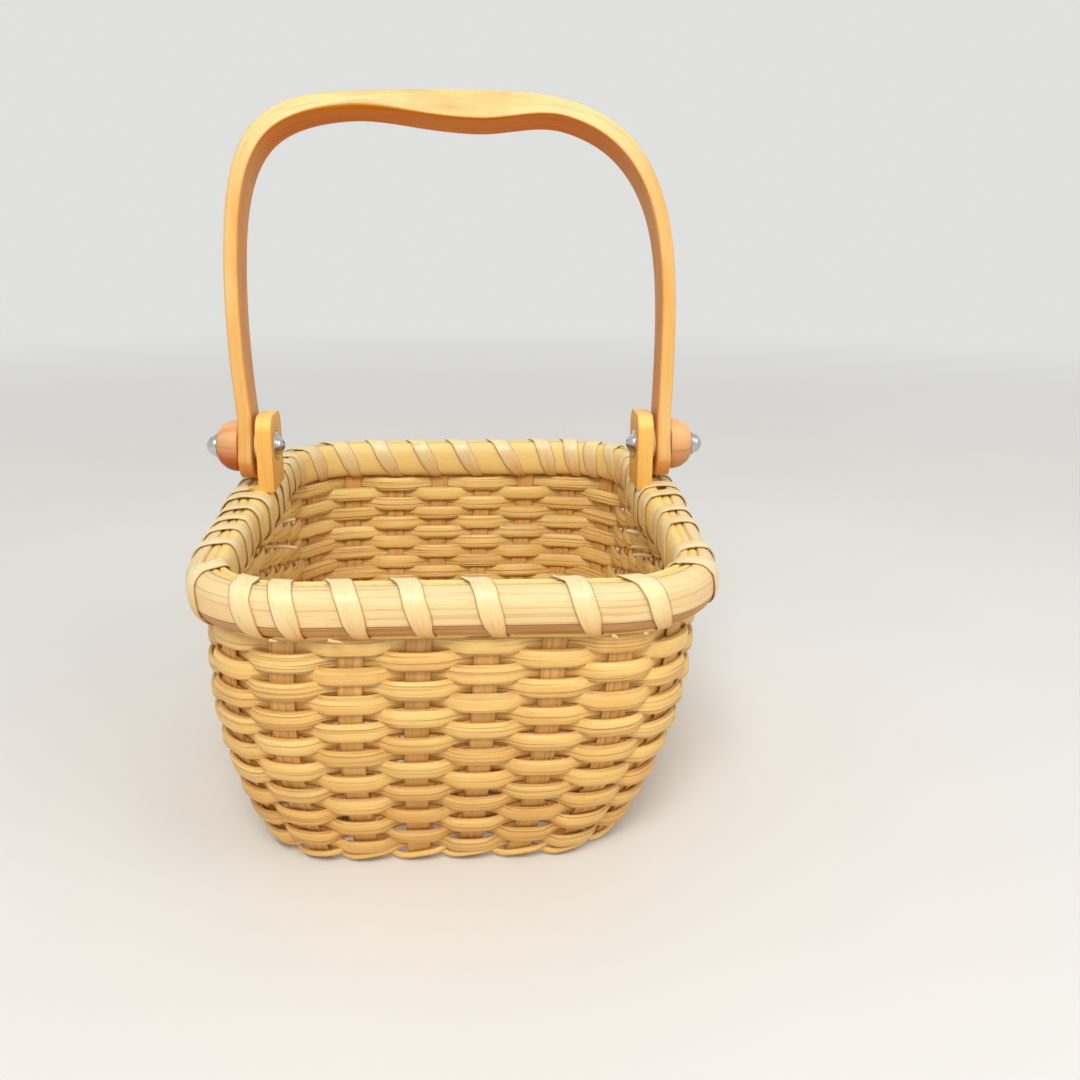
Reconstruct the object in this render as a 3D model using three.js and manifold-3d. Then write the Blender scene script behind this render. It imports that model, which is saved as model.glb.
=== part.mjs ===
// A small rectangular basket of woven reed with a bentwood handle that swings on two wooden ears.
// Millimetres, +Z up. X runs across the basket, from ear to ear. Y runs along it, front at -Y.
// The origin is on the table, under the middle of the basket.
import * as THREE from 'three';
import { mergeVertices } from 'three/addons/utils/BufferGeometryUtils.js';
import Module from 'manifold-3d';

const wasm = await Module();
wasm.setup();

// Wall: half sizes of the middle surface of the stakes, at the rim and at the table
const wallHalfWidthTop = 62.1;
const wallHalfLengthTop = 82.1;
const wallCornerRadiusTop = 25;
const wallInsetAtBase = 13.8;
const wallCornerRadiusBase = 24;
const wallCurveHeight = 60;

// Stakes: flat splints
const lengthwiseStakes = 8;
const crosswiseStakes = 8;
const stakeWidth = 5.4;
const stakeThickness = 1.0;
const stakeTopZ = 80.6;
const stakeBendZ = 1.7;
const stakeStationCount = 6;
const stakeStationCrowding = 1.3;

// Weavers: flat-oval reed, and the two thin strands at the foot
const rowCount = 17;
const firstRowZ = 6.4;
const rowPitch = 3.88;
const rowGap = 0.36;
const weaverThickness = 1.5;
const footStrandHeight = 1.35;
const footStrandThickness = 1.4;
const footStrandZ = [2.15, 3.85];

// Clearance between pieces that touch, and the larger one where a bent piece passes a flat one
const fitGap = 0.3;
const bendGap = 0.46;

// Rim
const rimBottomZ = 72.1;
const rimStripHeight = 12.5;
const outerStripThickness = 4.8;
const innerStripThickness = 3.2;
const rimRowThickness = 1.0;
const rimRise = 3;
const rimRiseReach = 70;

// Hand-woven unevenness: how far the foot sits to the left of the rim
const footLean = 4.2;
const fillerThickness = 2.2;
const fillerHeight = 3.8;
const earSlotHalfLength = 12.5;

// Lashing: flat cane wound over the rim, one loop for each space between stakes
const lashingWidth = 4.8;
const lashingThickness = 0.75;
const lashingOuterSlant = 6.3;
const lashingInnerSlant = 5.0;
const lashingUnderSlant = 0.6;
const lashingCornerCut = 1.2;
const lashingCrown = 0.6;
const lashingNarrowing = 0.8;

// Ears
const earThickness = 4.9;
const earWidth = 18;
const earInsetFromWall = 2.2;
const earFootInsetFromWall = 0.5;
const earFootThickness = 2.3;
const earFootWidth = 9.6;
const earFootBottomZ = 76;
const earShoulderZ = 90.6;
const earAbovePivot = 10;
const earSeatDiameter = 9.2;
const earSeatDepth = 1.0;
const earEdgeRound = 1.6;
const earFaceCornerRadius = 5;
const earJogHeight = 1.2;
const earFootTopZ = 88.4;

// Handle
const pivotZ = 101;
const handleThickness = 4.4;
const handleWidth = 14;
const handleHeight = 106.5;
const handleLean = 16;
const handleBowRight = 2;
const handleBowLeft = 3.5;
const handleBowStart = 8;
const handleBowReach = 57;
const handleShoulderStart = 30;
const handleSquarenessRight = 3.3;
const handleSquarenessLeft = 4.7;
const handleSharpestEnd = 0.3;
const handleLegEnd = 9.7;
const gripExtraThickness = 3.6;
const gripHalfLength = 33;
const gripCentreX = 5;

// Hardware on the pivot line
const boltDiameter = 3.9;
const boltHoleDiameter = 4.6;
const boltHeadDiameter = 6.4;
const boltHeadHeight = 2.3;
const boltWasherDiameter = 8.6;
const boltWasherThickness = 0.7;
const spacerDiameter = 9.6;
const spacerThickness = 0.7;
const beadDiameter = 15.6;
const beadLength = 6.6;
const beadCrownDiameter = 7.6;
const beadShoulder = 3.4;
const beadEdgeRound = 0.8;
const capNutDiameter = 7.2;
const capNutLength = 3.3;
const capNutRimLength = 0.9;
const capNutWall = 1.1;
const capNutStep = 0.5;
const capNutShoulderDrop = 1.2;
const capNutCrownDrop = 2.5;
const capNutShoulderShare = 0.65;

// Tucked ends of the lashing inside the wall
const tuckWidth = 2.4;
const tuckThickness = 1.2;
const tuckReach = 9;
const tuckTurn = 35;
const rightTuckUpright = 11;
const leftTuckUpright = 27;

// Mesh fineness
const roundSideCount = 18;
const cornerStationCount = 8;
const sideStationCount = 3;
const handleStationCount = 44;
const handleLegShare = 0.3;
const handleLegCrowding = 1.6;
const cutOvershoot = 1;

const stakeMaterial = material('#c98f4e', 0.7);
const weaverMaterial = material('#deb272', 0.6);
const rimMaterial = material('#dcb58c', 0.62);
const fillerMaterial = material('#cfa468', 0.8);
const lashingMaterial = material('#eed49a', 0.45);
const earMaterial = material('#d99a4e', 0.5);
const handleMaterial = material('#dfa55c', 0.5);
const beadMaterial = material('#a8643c', 0.3);
const metalMaterial = material('#c9cbcc', 0.25, 1);
const spacerMaterial = material('#ead9b4', 0.7);

const half = Math.PI / 2;
const earOuterX = wallHalfWidthTop - earInsetFromWall;
const earFootX = wallHalfWidthTop - earFootInsetFromWall;
const uprights = 2 * (lengthwiseStakes + crosswiseStakes);
const pivotX = earOuterX + fitGap + spacerThickness + fitGap;

function material(color, roughness, metalness = 0) {
  return new THREE.MeshStandardMaterial({ color, roughness, metalness });
}

function smooth(value) {
  const t = Math.min(1, Math.max(0, value));
  return t * t * (3 - 2 * t);
}

// Body from rings of points, one ring for each station. A closed body joins its last ring to its first.
function bodyFromRings(rings, closed) {
  const sides = rings[0].length;
  const positions = rings.flat().flatMap((point) => [point.x, point.y, point.z]);
  const index = [];
  const spans = closed ? rings.length : rings.length - 1;
  for (let i = 0; i < spans; i += 1) {
    const here = i * sides;
    const next = ((i + 1) % rings.length) * sides;
    for (let j = 0; j < sides; j += 1) {
      const k = (j + 1) % sides;
      index.push(here + j, next + j, next + k, here + j, next + k, here + k);
    }
  }
  if (!closed) {
    const last = (rings.length - 1) * sides;
    for (let j = 1; j < sides - 1; j += 1) {
      index.push(0, j, j + 1, last, last + j + 1, last + j);
    }
  }
  const geometry = new THREE.BufferGeometry();
  geometry.setAttribute('position', new THREE.Float32BufferAttribute(positions, 3));
  geometry.setIndex(index);
  return turnedOutward(geometry);
}

function turnedOutward(geometry) {
  const position = geometry.attributes.position;
  const index = geometry.index.array;
  const a = new THREE.Vector3();
  const b = new THREE.Vector3();
  const c = new THREE.Vector3();
  let volume = 0;
  for (let i = 0; i < index.length; i += 3) {
    a.fromBufferAttribute(position, index[i]);
    b.fromBufferAttribute(position, index[i + 1]);
    c.fromBufferAttribute(position, index[i + 2]);
    volume += a.dot(b.cross(c));
  }
  if (volume < 0) {
    for (let i = 0; i < index.length; i += 3) {
      [index[i], index[i + 1]] = [index[i + 1], index[i]];
    }
  }
  geometry.computeVertexNormals();
  return geometry;
}

// A ring of points round a centre: each section point is a share of the half width and half depth.
function ringAt(centre, wide, deep, section) {
  return section.map(([u, v]) => centre.clone().addScaledVector(wide, u).addScaledVector(deep, v));
}

const flatSection = [[-1, -1], [1, -1], [1, 1], [-1, 1]];
const stripSection = [[-1, -0.6], [-0.55, -1], [0.55, -1], [1, -0.6], [1, 0.6], [0.55, 1], [-0.55, 1], [-1, 0.6]];
const halfRoundSection = [[-1, -1], [1, -1], [1, -0.1], [0.55, 1], [-0.55, 1], [-1, -0.1]];

// How far the wall is drawn in at a height, and how fast that changes with height
function wallInset(z) {
  const share = Math.max(0, 1 - z / wallCurveHeight);
  return wallInsetAtBase * share * share;
}

function wallSlope(z) {
  const share = Math.max(0, 1 - z / wallCurveHeight);
  return 2 * wallInsetAtBase * share / wallCurveHeight;
}

// A point of the wall's outline at a height. The share runs once round, from the middle of the front
// towards +X, and every quarter of the way round is one quarter of the outline.
function outline(share, z) {
  const inset = wallInset(z);
  const halfWidth = wallHalfWidthTop - inset;
  const halfLength = wallHalfLengthTop - inset;
  const shrink = inset / wallInsetAtBase;
  const radius = wallCornerRadiusTop + (wallCornerRadiusBase - wallCornerRadiusTop) * shrink;
  const quarter = (((share % 1) + 1) % 1) * 4;
  const number = Math.floor(quarter);
  const mirrored = number % 2 === 1;
  const part = mirrored ? 1 - (quarter - number) : quarter - number;
  const flatFront = halfWidth - radius;
  const flatSide = halfLength - radius;
  const along = part * (flatFront + flatSide + radius * half);
  let x = Math.min(along, flatFront);
  let y = -halfLength;
  let turn = 0;
  if (along > flatFront) {
    turn = Math.min(half, (along - flatFront) / radius);
    x = flatFront + radius * Math.sin(turn);
    y = -flatSide - radius * Math.cos(turn) + Math.max(0, along - flatFront - radius * half);
  }
  const flipX = number >= 2 ? -1 : 1;
  const flipY = number === 1 || number === 2 ? -1 : 1;
  const curved = turn > 0 && turn < half;
  return {
    point: new THREE.Vector3(x * flipX, y * flipY, z),
    outward: new THREE.Vector3(Math.sin(turn) * flipX, -Math.cos(turn) * flipY, 0),
    curved,
  };
}

// Directions in the wall at a share and height: outward through it, up along it, and round it
function wallFrame(share, z) {
  const { point, outward, curved } = outline(share, z);
  const slope = wallSlope(z);
  const up = outward.clone().multiplyScalar(slope).add(new THREE.Vector3(0, 0, 1)).normalize();
  const round = new THREE.Vector3(0, 0, 1).cross(outward).normalize();
  const out = round.clone().cross(up).normalize();
  return { point, out, up, round, curved };
}

function quarterLength(z) {
  const inset = wallInset(z);
  const radius = wallCornerRadiusTop + (wallCornerRadiusBase - wallCornerRadiusTop) * (inset / wallInsetAtBase);
  return wallHalfWidthTop + wallHalfLengthTop - 2 * inset - (2 - half) * radius;
}

function uprightShare(number) {
  return (number - lengthwiseStakes / 2 + 0.5) / uprights;
}

// The rim rises towards the ears: every woven piece is lifted with it, more the higher it is.
function lift(point) {
  const reach = Math.min(1, Math.abs(point.y) / rimRiseReach);
  point.x -= footLean * Math.max(0, 1 - Math.max(0, point.z) / rimBottomZ);
  const bump = Math.cos(reach * half) ** 2;
  point.z += rimRise * bump * Math.max(0, point.z) / (rimBottomZ + rimStripHeight);
  return point;
}

function wovenBody(rings, closed) {
  rings.forEach((ring) => ring.forEach(lift));
  return bodyFromRings(rings, closed);
}

// One row of weaving: out over one upright and in behind the next
function weaverRow(z, height, thickness, outsideFirst) {
  const rings = [];
  const spacing = 4 * quarterLength(z) / uprights;
  const reach = stakeWidth / 2 + fitGap;
  const plateau = stakeThickness / 2 + fitGap + thickness / 2;
  const peak = plateau / (1 - 2 * reach / spacing) + fitGap / 3;
  for (let number = 0; number < uprights; number += 1) {
    const side = (number % 2 === 0) === outsideFirst ? 1 : -1;
    const frame = wallFrame(uprightShare(number), z);
    const steps = frame.curved ? [-reach, reach] : [0];
    const depth = frame.curved ? plateau + fitGap / 3 : peak;
    for (const step of steps) {
      const centre = frame.point.clone().addScaledVector(frame.out, side * depth);
      centre.addScaledVector(frame.round, step);
      const tall = frame.up.clone().multiplyScalar(height / 2);
      const deep = frame.out.clone().multiplyScalar(thickness / 2);
      rings.push(ringAt(centre, tall, deep, flatSection));
    }
  }
  return wovenBody(rings, true);
}

// A stake: up one wall, across the base over and under the stakes it meets, and up the other wall
const baseMiddleZ = stakeThickness + fitGap / 2;
const baseWave = (stakeThickness + fitGap) / 2;

function stakeOnWall(number) {
  const share = uprightShare(number);
  const heights = [];
  for (let i = 0; i <= stakeStationCount; i += 1) {
    const part = i / stakeStationCount;
    heights.push(stakeBendZ + (stakeTopZ - stakeBendZ) * part ** stakeStationCrowding);
  }
  return heights.map((z) => {
    const frame = wallFrame(share, z);
    return ringAt(
      frame.point,
      frame.round.clone().multiplyScalar(stakeWidth / 2),
      frame.out.clone().multiplyScalar(stakeThickness / 2),
      flatSection,
    );
  });
}

function stake(number, otherNumber, crossings, startsOver) {
  const startFrame = wallFrame(uprightShare(number), 0);
  const endFrame = wallFrame(uprightShare(otherNumber), 0);
  const lengthwise = number < lengthwiseStakes;
  const direction = lengthwise ? new THREE.Vector3(0, 1, 0) : new THREE.Vector3(-1, 0, 0);
  const wide = direction.clone().cross(new THREE.Vector3(0, 0, 1)).multiplyScalar(stakeWidth / 2);
  const deep = new THREE.Vector3(0, 0, 1).multiplyScalar(-stakeThickness / 2);
  const start = startFrame.point.dot(direction);
  const end = endFrame.point.dot(direction);
  const side = startFrame.point.clone().addScaledVector(direction, -start);
  const flatRing = (along, z) => {
    const centre = side.clone().addScaledVector(direction, along).setZ(z);
    return ringAt(centre, wide, deep, flatSection);
  };
  const rings = stakeOnWall(number).reverse();
  rings.push(flatRing(start + stakeThickness, stakeThickness / 2));
  crossings.forEach((along, i) => {
    const over = (i % 2 === 0) === startsOver;
    const z = baseMiddleZ + (over ? baseWave : -baseWave);
    const reach = stakeWidth / 2 + fitGap;
    rings.push(flatRing(along - reach, z), flatRing(along + reach, z));
  });
  rings.push(flatRing(end - stakeThickness, stakeThickness / 2));
  const farWall = stakeOnWall(otherNumber).map((ring) => [ring[1], ring[0], ring[3], ring[2]]);
  rings.push(...farWall);
  return wovenBody(rings, false);
}

function basePlaces(firstNumber, count, axis) {
  const places = [];
  for (let i = 0; i < count; i += 1) {
    places.push(outline(uprightShare(firstNumber + i), 0).point[axis]);
  }
  return places.sort((a, b) => a - b);
}

// Shares at which a rim hoop has its stations: close together round the corners, wider on the straights
function rimShares(fromShare, toShare) {
  const flatFront = wallHalfWidthTop - wallCornerRadiusTop;
  const flatSide = wallHalfLengthTop - wallCornerRadiusTop;
  const whole = flatFront + flatSide + wallCornerRadiusTop * half;
  const inQuarter = [0, flatFront / 2];
  for (let i = 0; i <= cornerStationCount; i += 1) {
    inQuarter.push(flatFront + wallCornerRadiusTop * half * i / cornerStationCount);
  }
  for (let i = 1; i <= sideStationCount; i += 1) {
    inQuarter.push(whole - flatSide * (1 - i / (sideStationCount + 1)));
  }
  const shares = [];
  for (let number = -2; number < 6; number += 1) {
    const mirrored = Math.abs(number) % 2 === 1;
    const places = mirrored ? inQuarter.map((along) => whole - along).reverse() : inQuarter;
    shares.push(...places.map((along) => (number + along / whole) / 4));
  }
  const inside = shares.filter((share) => share > fromShare + 0.002 && share < toShare - 0.002);
  return toShare - fromShare >= 1 ? [fromShare, ...inside] : [fromShare, ...inside, toShare];
}

// A hoop or part of a hoop at the rim: its middle lies at a set distance out from the stakes.
function rimBand(fromShare, toShare, outDistance, halfThickness, middleZ, halfHeight, section) {
  const closed = toShare - fromShare >= 1;
  const rings = [];
  for (const share of rimShares(fromShare, toShare)) {
    const frame = wallFrame(share, middleZ);
    const centre = frame.point.clone().addScaledVector(frame.out, outDistance);
    const tall = frame.up.clone().multiplyScalar(halfHeight);
    const deep = frame.out.clone().multiplyScalar(Math.sign(outDistance || 1) * halfThickness);
    rings.push(ringAt(centre, tall, deep, section));
  }
  return wovenBody(rings, closed);
}

const rimTopZ = rimBottomZ + rimStripHeight;
const rimRowOut = stakeThickness / 2 + bendGap + rimRowThickness / 2;
const outerStripIn = rimRowOut + rimRowThickness / 2 + fitGap;
const outerStripOut = outerStripIn + outerStripThickness;
const innerStripOut = -(stakeThickness / 2 + fitGap);
const innerStripIn = innerStripOut - innerStripThickness;

// Share of the way round at which the slot for an ear begins and ends
const earSlotShare = earSlotHalfLength / (4 * quarterLength(rimTopZ));
const rightEarShare = 0.25;
const leftEarShare = 0.75;

// One loop of lashing: under the rim, up its inside, over the top and down the outside.
// Each step is a distance out from the stakes, a height and a distance along the rim.
function lashingLoop(passShare, nextShare) {
  const gap = fitGap + lashingThickness / 2;
  const low = rimBottomZ - gap;
  const high = rimTopZ + gap + lashingCrown;
  const outer = outerStripOut + gap;
  const inner = innerStripIn - gap;
  const cut = lashingCornerCut;
  const aroundRim = 4 * quarterLength(rimTopZ);
  const pitch = (nextShare - passShare) * aroundRim;
  const innerTop = lashingUnderSlant + lashingInnerSlant;
  const outerTop = pitch - lashingOuterSlant;
  const under = [
    [outer - cut, low, -lashingUnderSlant / 2],
    [0, low, lashingUnderSlant / 2],
    [inner + cut, low, lashingUnderSlant],
  ];
  const upInside = [
    [inner, low + cut, lashingUnderSlant * 2],
    [inner, rimTopZ - cut, innerTop - lashingUnderSlant],
    [inner + cut, high - lashingCrown, innerTop],
  ];
  const over = [
    [0, high + lashingCrown, (innerTop + outerTop) / 2],
    [outer - 2 * cut, high - lashingCrown, outerTop],
  ];
  const downOutside = [
    [outer, rimTopZ - 2 * cut, outerTop + lashingUnderSlant],
    [outer, low + cut, pitch - lashingUnderSlant],
  ];
  const steps = [...under, ...upInside, ...over, ...downOutside];
  return steps.map(([out, z, along]) => ({ out, z, share: passShare + along / aroundRim }));
}

function lashingPoint(step) {
  const frame = wallFrame(step.share, step.z);
  return lift(frame.point.clone().addScaledVector(frame.out, step.out));
}

// A lashing starts over the top beside one ear and ends up the inside beside the other.
function lashing(firstGap, lastGap) {
  const gapShare = (number) => uprightShare(number) + 0.5 / uprights;
  const loopAt = (number) => lashingLoop(gapShare(number), gapShare(number + 1));
  const overTop = 6;
  const steps = loopAt(firstGap - 1).slice(overTop);
  for (let number = firstGap; number < lastGap; number += 1) {
    steps.push(...loopAt(number));
  }
  steps.push(...loopAt(lastGap).slice(0, overTop - 1));
  const points = steps.map(lashingPoint);
  const loopSteps = lashingLoop(0, 1 / uprights).length;
  const rings = points.map((point, i) => {
    const before = points[Math.max(0, i - 1)];
    const after = points[Math.min(points.length - 1, i + 1)];
    const path = after.clone().sub(before).normalize();
    const along = wallFrame(steps[i].share, steps[i].z).round;
    const deep = path.clone().cross(along).normalize();
    const wide = deep.clone().cross(path).normalize();
    const narrow = steps[i].z < rimBottomZ + lashingCornerCut ? lashingNarrowing : 1;
    return ringAt(
      point,
      wide.multiplyScalar(lashingWidth / 2 * narrow),
      deep.multiplyScalar(lashingThickness / 2),
      flatSection,
    );
  });
  return { geometry: bodyFromRings(rings, false), gap: windingGap(points, loopSteps) };
}

// Least distance between the middle lines of neighbouring loops, less the width of the cane
function windingGap(points, loopSteps) {
  let least = Infinity;
  for (let i = 0; i < points.length; i += 1) {
    for (let j = i + loopSteps - 2; j < points.length; j += 1) {
      least = Math.min(least, points[i].distanceTo(points[j]));
    }
  }
  return least - lashingWidth;
}

// Booleans on closed meshes
function solidFrom(geometry) {
  const bare = geometry.clone();
  bare.deleteAttribute('normal');
  bare.deleteAttribute('uv');
  const merged = mergeVertices(bare, 1e-4);
  return new wasm.Manifold(new wasm.Mesh({
    numProp: 3,
    vertProperties: new Float32Array(merged.attributes.position.array),
    triVerts: new Uint32Array(merged.index.array),
  }));
}

function geometryFrom(solid) {
  const mesh = solid.getMesh();
  const geometry = new THREE.BufferGeometry();
  geometry.setAttribute('position', new THREE.BufferAttribute(mesh.vertProperties, 3));
  geometry.setIndex(new THREE.BufferAttribute(mesh.triVerts, 1));
  geometry.computeVertexNormals();
  return geometry;
}

// A round body about the X axis from a profile of [x, radius] points
function turned(profile) {
  const points = profile.map(([x, radius]) => new THREE.Vector2(radius, x));
  const geometry = new THREE.LatheGeometry(points, roundSideCount);
  geometry.rotateZ(-half);
  const bare = geometry.clone();
  bare.deleteAttribute('normal');
  bare.deleteAttribute('uv');
  return turnedOutward(mergeVertices(bare, 1e-4));
}

function rod(fromX, toX, diameter) {
  return turned([[fromX, 0], [fromX, diameter / 2], [toX, diameter / 2], [toX, 0]]);
}

function washer(fromX, toX, diameter, bore) {
  return turned([
    [fromX, bore / 2],
    [fromX, diameter / 2],
    [toX, diameter / 2],
    [toX, bore / 2],
    [fromX, bore / 2],
  ]);
}

// The ear: a rounded block above the rim, a jog over the inner strip and a foot between the strips
function ear() {
  const innerX = earOuterX - earThickness;
  const top = pivotZ + earAbovePivot;
  const block = new THREE.Shape();
  block.moveTo(innerX, earShoulderZ);
  block.lineTo(earOuterX, earShoulderZ);
  block.lineTo(earOuterX, top - earEdgeRound);
  block.quadraticCurveTo(earOuterX, top, earOuterX - earEdgeRound, top);
  block.lineTo(innerX + earEdgeRound, top);
  block.quadraticCurveTo(innerX, top, innerX, top - earEdgeRound);
  block.closePath();
  const footOuter = earFootX + earFootThickness;
  const overlap = earJogHeight / 3;
  const foot = new THREE.Shape();
  foot.moveTo(earFootX, earFootBottomZ);
  foot.lineTo(footOuter, earFootBottomZ);
  foot.lineTo(footOuter, earFootTopZ);
  foot.lineTo(earOuterX, earShoulderZ + overlap);
  foot.lineTo(earOuterX - earEdgeRound, earShoulderZ + earJogHeight);
  foot.lineTo(innerX + earEdgeRound, earShoulderZ + overlap);
  foot.lineTo(innerX + earEdgeRound, earShoulderZ - earJogHeight);
  foot.lineTo(earFootX, earFootTopZ);
  foot.closePath();
  const extrude = (shape, width) => {
    const geometry = new THREE.ExtrudeGeometry(shape, { depth: width, bevelEnabled: false, curveSegments: 3 });
    geometry.rotateX(half);
    geometry.translate(0, width / 2, 0);
    return solidFrom(geometry);
  };
  const halfWidth = earWidth / 2;
  const corner = earFaceCornerRadius;
  const face = new THREE.Shape();
  face.moveTo(-halfWidth, earFootBottomZ);
  face.lineTo(halfWidth, earFootBottomZ);
  face.lineTo(halfWidth, top - corner);
  face.absarc(halfWidth - corner, top - corner, corner, 0, half, false);
  face.lineTo(-halfWidth + corner, top);
  face.absarc(-halfWidth + corner, top - corner, corner, half, Math.PI, false);
  face.closePath();
  const depth = footOuter - innerX + 2 * cutOvershoot;
  const faceBody = new THREE.ExtrudeGeometry(face, { depth, bevelEnabled: false, curveSegments: 5 });
  faceBody.rotateX(half);
  faceBody.rotateZ(half);
  faceBody.translate(innerX - cutOvershoot, 0, 0);
  const hole = rod(innerX - cutOvershoot, earOuterX + cutOvershoot, boltHoleDiameter);
  const seat = rod(innerX - cutOvershoot, innerX + earSeatDepth, earSeatDiameter);
  hole.translate(0, 0, pivotZ);
  seat.translate(0, 0, pivotZ);
  return geometryFrom(
    extrude(block, earWidth)
      .intersect(solidFrom(faceBody))
      .add(extrude(foot, earFootWidth))
      .subtract(solidFrom(hole))
      .subtract(solidFrom(seat)),
  );
}

// Outer line of the handle at a share of the way round it, from the right leg's end to the left leg's.
// The legs bow outwards a little, and the top is a rounded square.
function handleOuter(share) {
  const side = share < 0.5 ? 1 : -1;
  const fold = 1 - Math.abs(share - 0.5) * 2;
  const fullBow = side > 0 ? handleBowRight : handleBowLeft;
  const squareness = side > 0 ? handleSquarenessRight : handleSquarenessLeft;
  const legX = pivotX + handleThickness;
  const legLength = handleShoulderStart + handleLegEnd;
  const legOutAt = (along) => {
    const reached = Math.min(1, Math.max(0, (along - handleBowStart) / (handleBowReach - handleBowStart)));
    return legX + fullBow * reached * (2 - reached);
  };
  if (fold < handleLegShare) {
    const along = -handleLegEnd + legLength * (fold / handleLegShare) ** handleLegCrowding;
    return new THREE.Vector2(side * legOutAt(along), along);
  }
  const part = (fold - handleLegShare) / (1 - handleLegShare);
  const bend = squareness / 2;
  const angle = Math.atan2(part ** bend, (1 - part) ** bend);
  const height = handleShoulderStart + (handleHeight - handleShoulderStart) * Math.sin(angle) ** (1 / bend);
  return new THREE.Vector2(side * legOutAt(height) * Math.cos(angle) ** (1 / bend), height);
}

const handleSection = [[-1, -0.7], [-0.86, -1], [0.86, -1], [1, -0.7], [1, 0.6], [0.8, 1], [-0.8, 1], [-1, 0.6]];

function handle() {
  const rings = [];
  const step = 0.1 / handleStationCount;
  for (let i = 0; i <= handleStationCount; i += 1) {
    const share = i / handleStationCount;
    const here = handleOuter(share);
    const before = handleOuter(Math.max(0, share - step));
    const after = handleOuter(Math.min(1, share + step));
    const path = after.clone().sub(before).normalize();
    const inward = new THREE.Vector3(-path.y, 0, path.x);
    const onTop = smooth((here.y - handleShoulderStart) / (handleHeight - handleShoulderStart));
    const fromGrip = Math.abs(here.x - gripCentreX) / gripHalfLength;
    const grip = onTop * gripExtraThickness * (1 - smooth(fromGrip));
    const intoEnd = Math.max(0, -here.y - (handleLegEnd - handleWidth / 2));
    const endWidth = Math.sqrt(Math.max(handleSharpestEnd ** 2, 1 - (intoEnd / (handleWidth / 2)) ** 2));
    const thickness = handleThickness + grip;
    const centre = new THREE.Vector3(here.x, 0, here.y).addScaledVector(inward, thickness / 2);
    const wide = new THREE.Vector3(0, handleWidth / 2 * endWidth, 0);
    const deep = inward.clone().multiplyScalar(thickness / 2);
    rings.push(ringAt(centre, wide, deep, handleSection));
  }
  const body = solidFrom(bodyFromRings(rings, false));
  const bore = solidFrom(rod(-pivotX - 2 * handleThickness, pivotX + 2 * handleThickness, boltHoleDiameter));
  return geometryFrom(body.subtract(bore));
}

function bead() {
  const start = pivotX + handleThickness + fitGap;
  const end = start + beadLength;
  const crown = beadCrownDiameter / 2;
  const bore = boltHoleDiameter / 2;
  const rim = beadDiameter / 2;
  const shape = new THREE.Shape();
  shape.moveTo(start, bore);
  shape.lineTo(start, rim - beadEdgeRound);
  shape.quadraticCurveTo(start, rim, start + beadEdgeRound, rim);
  shape.bezierCurveTo(start + beadShoulder, rim, end, rim - beadShoulder / 2, end, crown);
  shape.lineTo(end, bore);
  shape.closePath();
  return turned(shape.getPoints(4).map((point) => [point.x, point.y]));
}

function capNut() {
  const start = pivotX + handleThickness + fitGap + beadLength + fitGap;
  const outer = capNutDiameter / 2;
  const bore = boltDiameter / 2 + fitGap;
  const end = start + capNutLength;
  return turned([
    [start, bore],
    [start, outer],
    [start + capNutRimLength, outer],
    [start + capNutRimLength, outer - capNutStep],
    [start + capNutLength * capNutShoulderShare, outer - capNutShoulderDrop],
    [end - fitGap, outer - capNutCrownDrop],
    [end, 0],
    [end - capNutWall, 0],
    [end - capNutWall, bore],
    [start, bore],
  ]);
}

// The bolt's head lies against its washer on the inside of the ear; its end is inside the cap nut.
function bolt() {
  const seatX = earOuterX - earThickness + earSeatDepth;
  const headX = seatX - fitGap - boltWasherThickness - fitGap;
  const nutStart = pivotX + handleThickness + fitGap + beadLength + fitGap;
  const endX = nutStart + capNutLength - capNutWall - fitGap;
  const head = boltHeadDiameter / 2;
  return turned([
    [headX - boltHeadHeight, 0],
    [headX - boltHeadHeight, head * 0.45],
    [headX - boltHeadHeight * 0.75, head * 0.85],
    [headX - boltHeadHeight * 0.35, head],
    [headX, head],
    [headX, boltDiameter / 2],
    [endX, boltDiameter / 2],
    [endX, 0],
  ]);
}

function boltWasher() {
  const seatX = earOuterX - earThickness + earSeatDepth;
  return washer(seatX - fitGap - boltWasherThickness, seatX - fitGap, boltWasherDiameter, boltHoleDiameter);
}

function spacerWasher() {
  const start = earOuterX + fitGap;
  return washer(start, start + spacerThickness, spacerDiameter, boltHoleDiameter);
}

// A tucked end of cane: it comes out from under the inner strip, inwards and turned to one side.
function lashingTuck(number, side) {
  const z = rimBottomZ - fitGap - tuckThickness / 2;
  const frame = wallFrame(uprightShare(number), z);
  const halfWide = tuckWidth / 2;
  const turn = THREE.MathUtils.degToRad(tuckTurn);
  const shape = new THREE.Shape();
  shape.moveTo(0, -halfWide);
  shape.lineTo(tuckReach, -halfWide);
  shape.absarc(tuckReach, 0, halfWide, -half, half, false);
  shape.lineTo(0, halfWide);
  shape.closePath();
  const geometry = new THREE.ExtrudeGeometry(shape, { depth: tuckThickness, bevelEnabled: false, curveSegments: 5 });
  geometry.translate(halfWide * Math.sin(turn), 0, -tuckThickness / 2);
  const inward = Math.atan2(-frame.out.y, -frame.out.x);
  geometry.rotateZ(inward - side * turn);
  const start = lift(frame.point.clone().addScaledVector(frame.out, innerStripOut));
  geometry.translate(start.x, start.y, start.z);
  return geometry;
}

function place(parent, name, geometry, look) {
  const mesh = new THREE.Mesh(geometry, look);
  mesh.name = name;
  parent.add(mesh);
  return mesh;
}

const basket = new THREE.Group();

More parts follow.
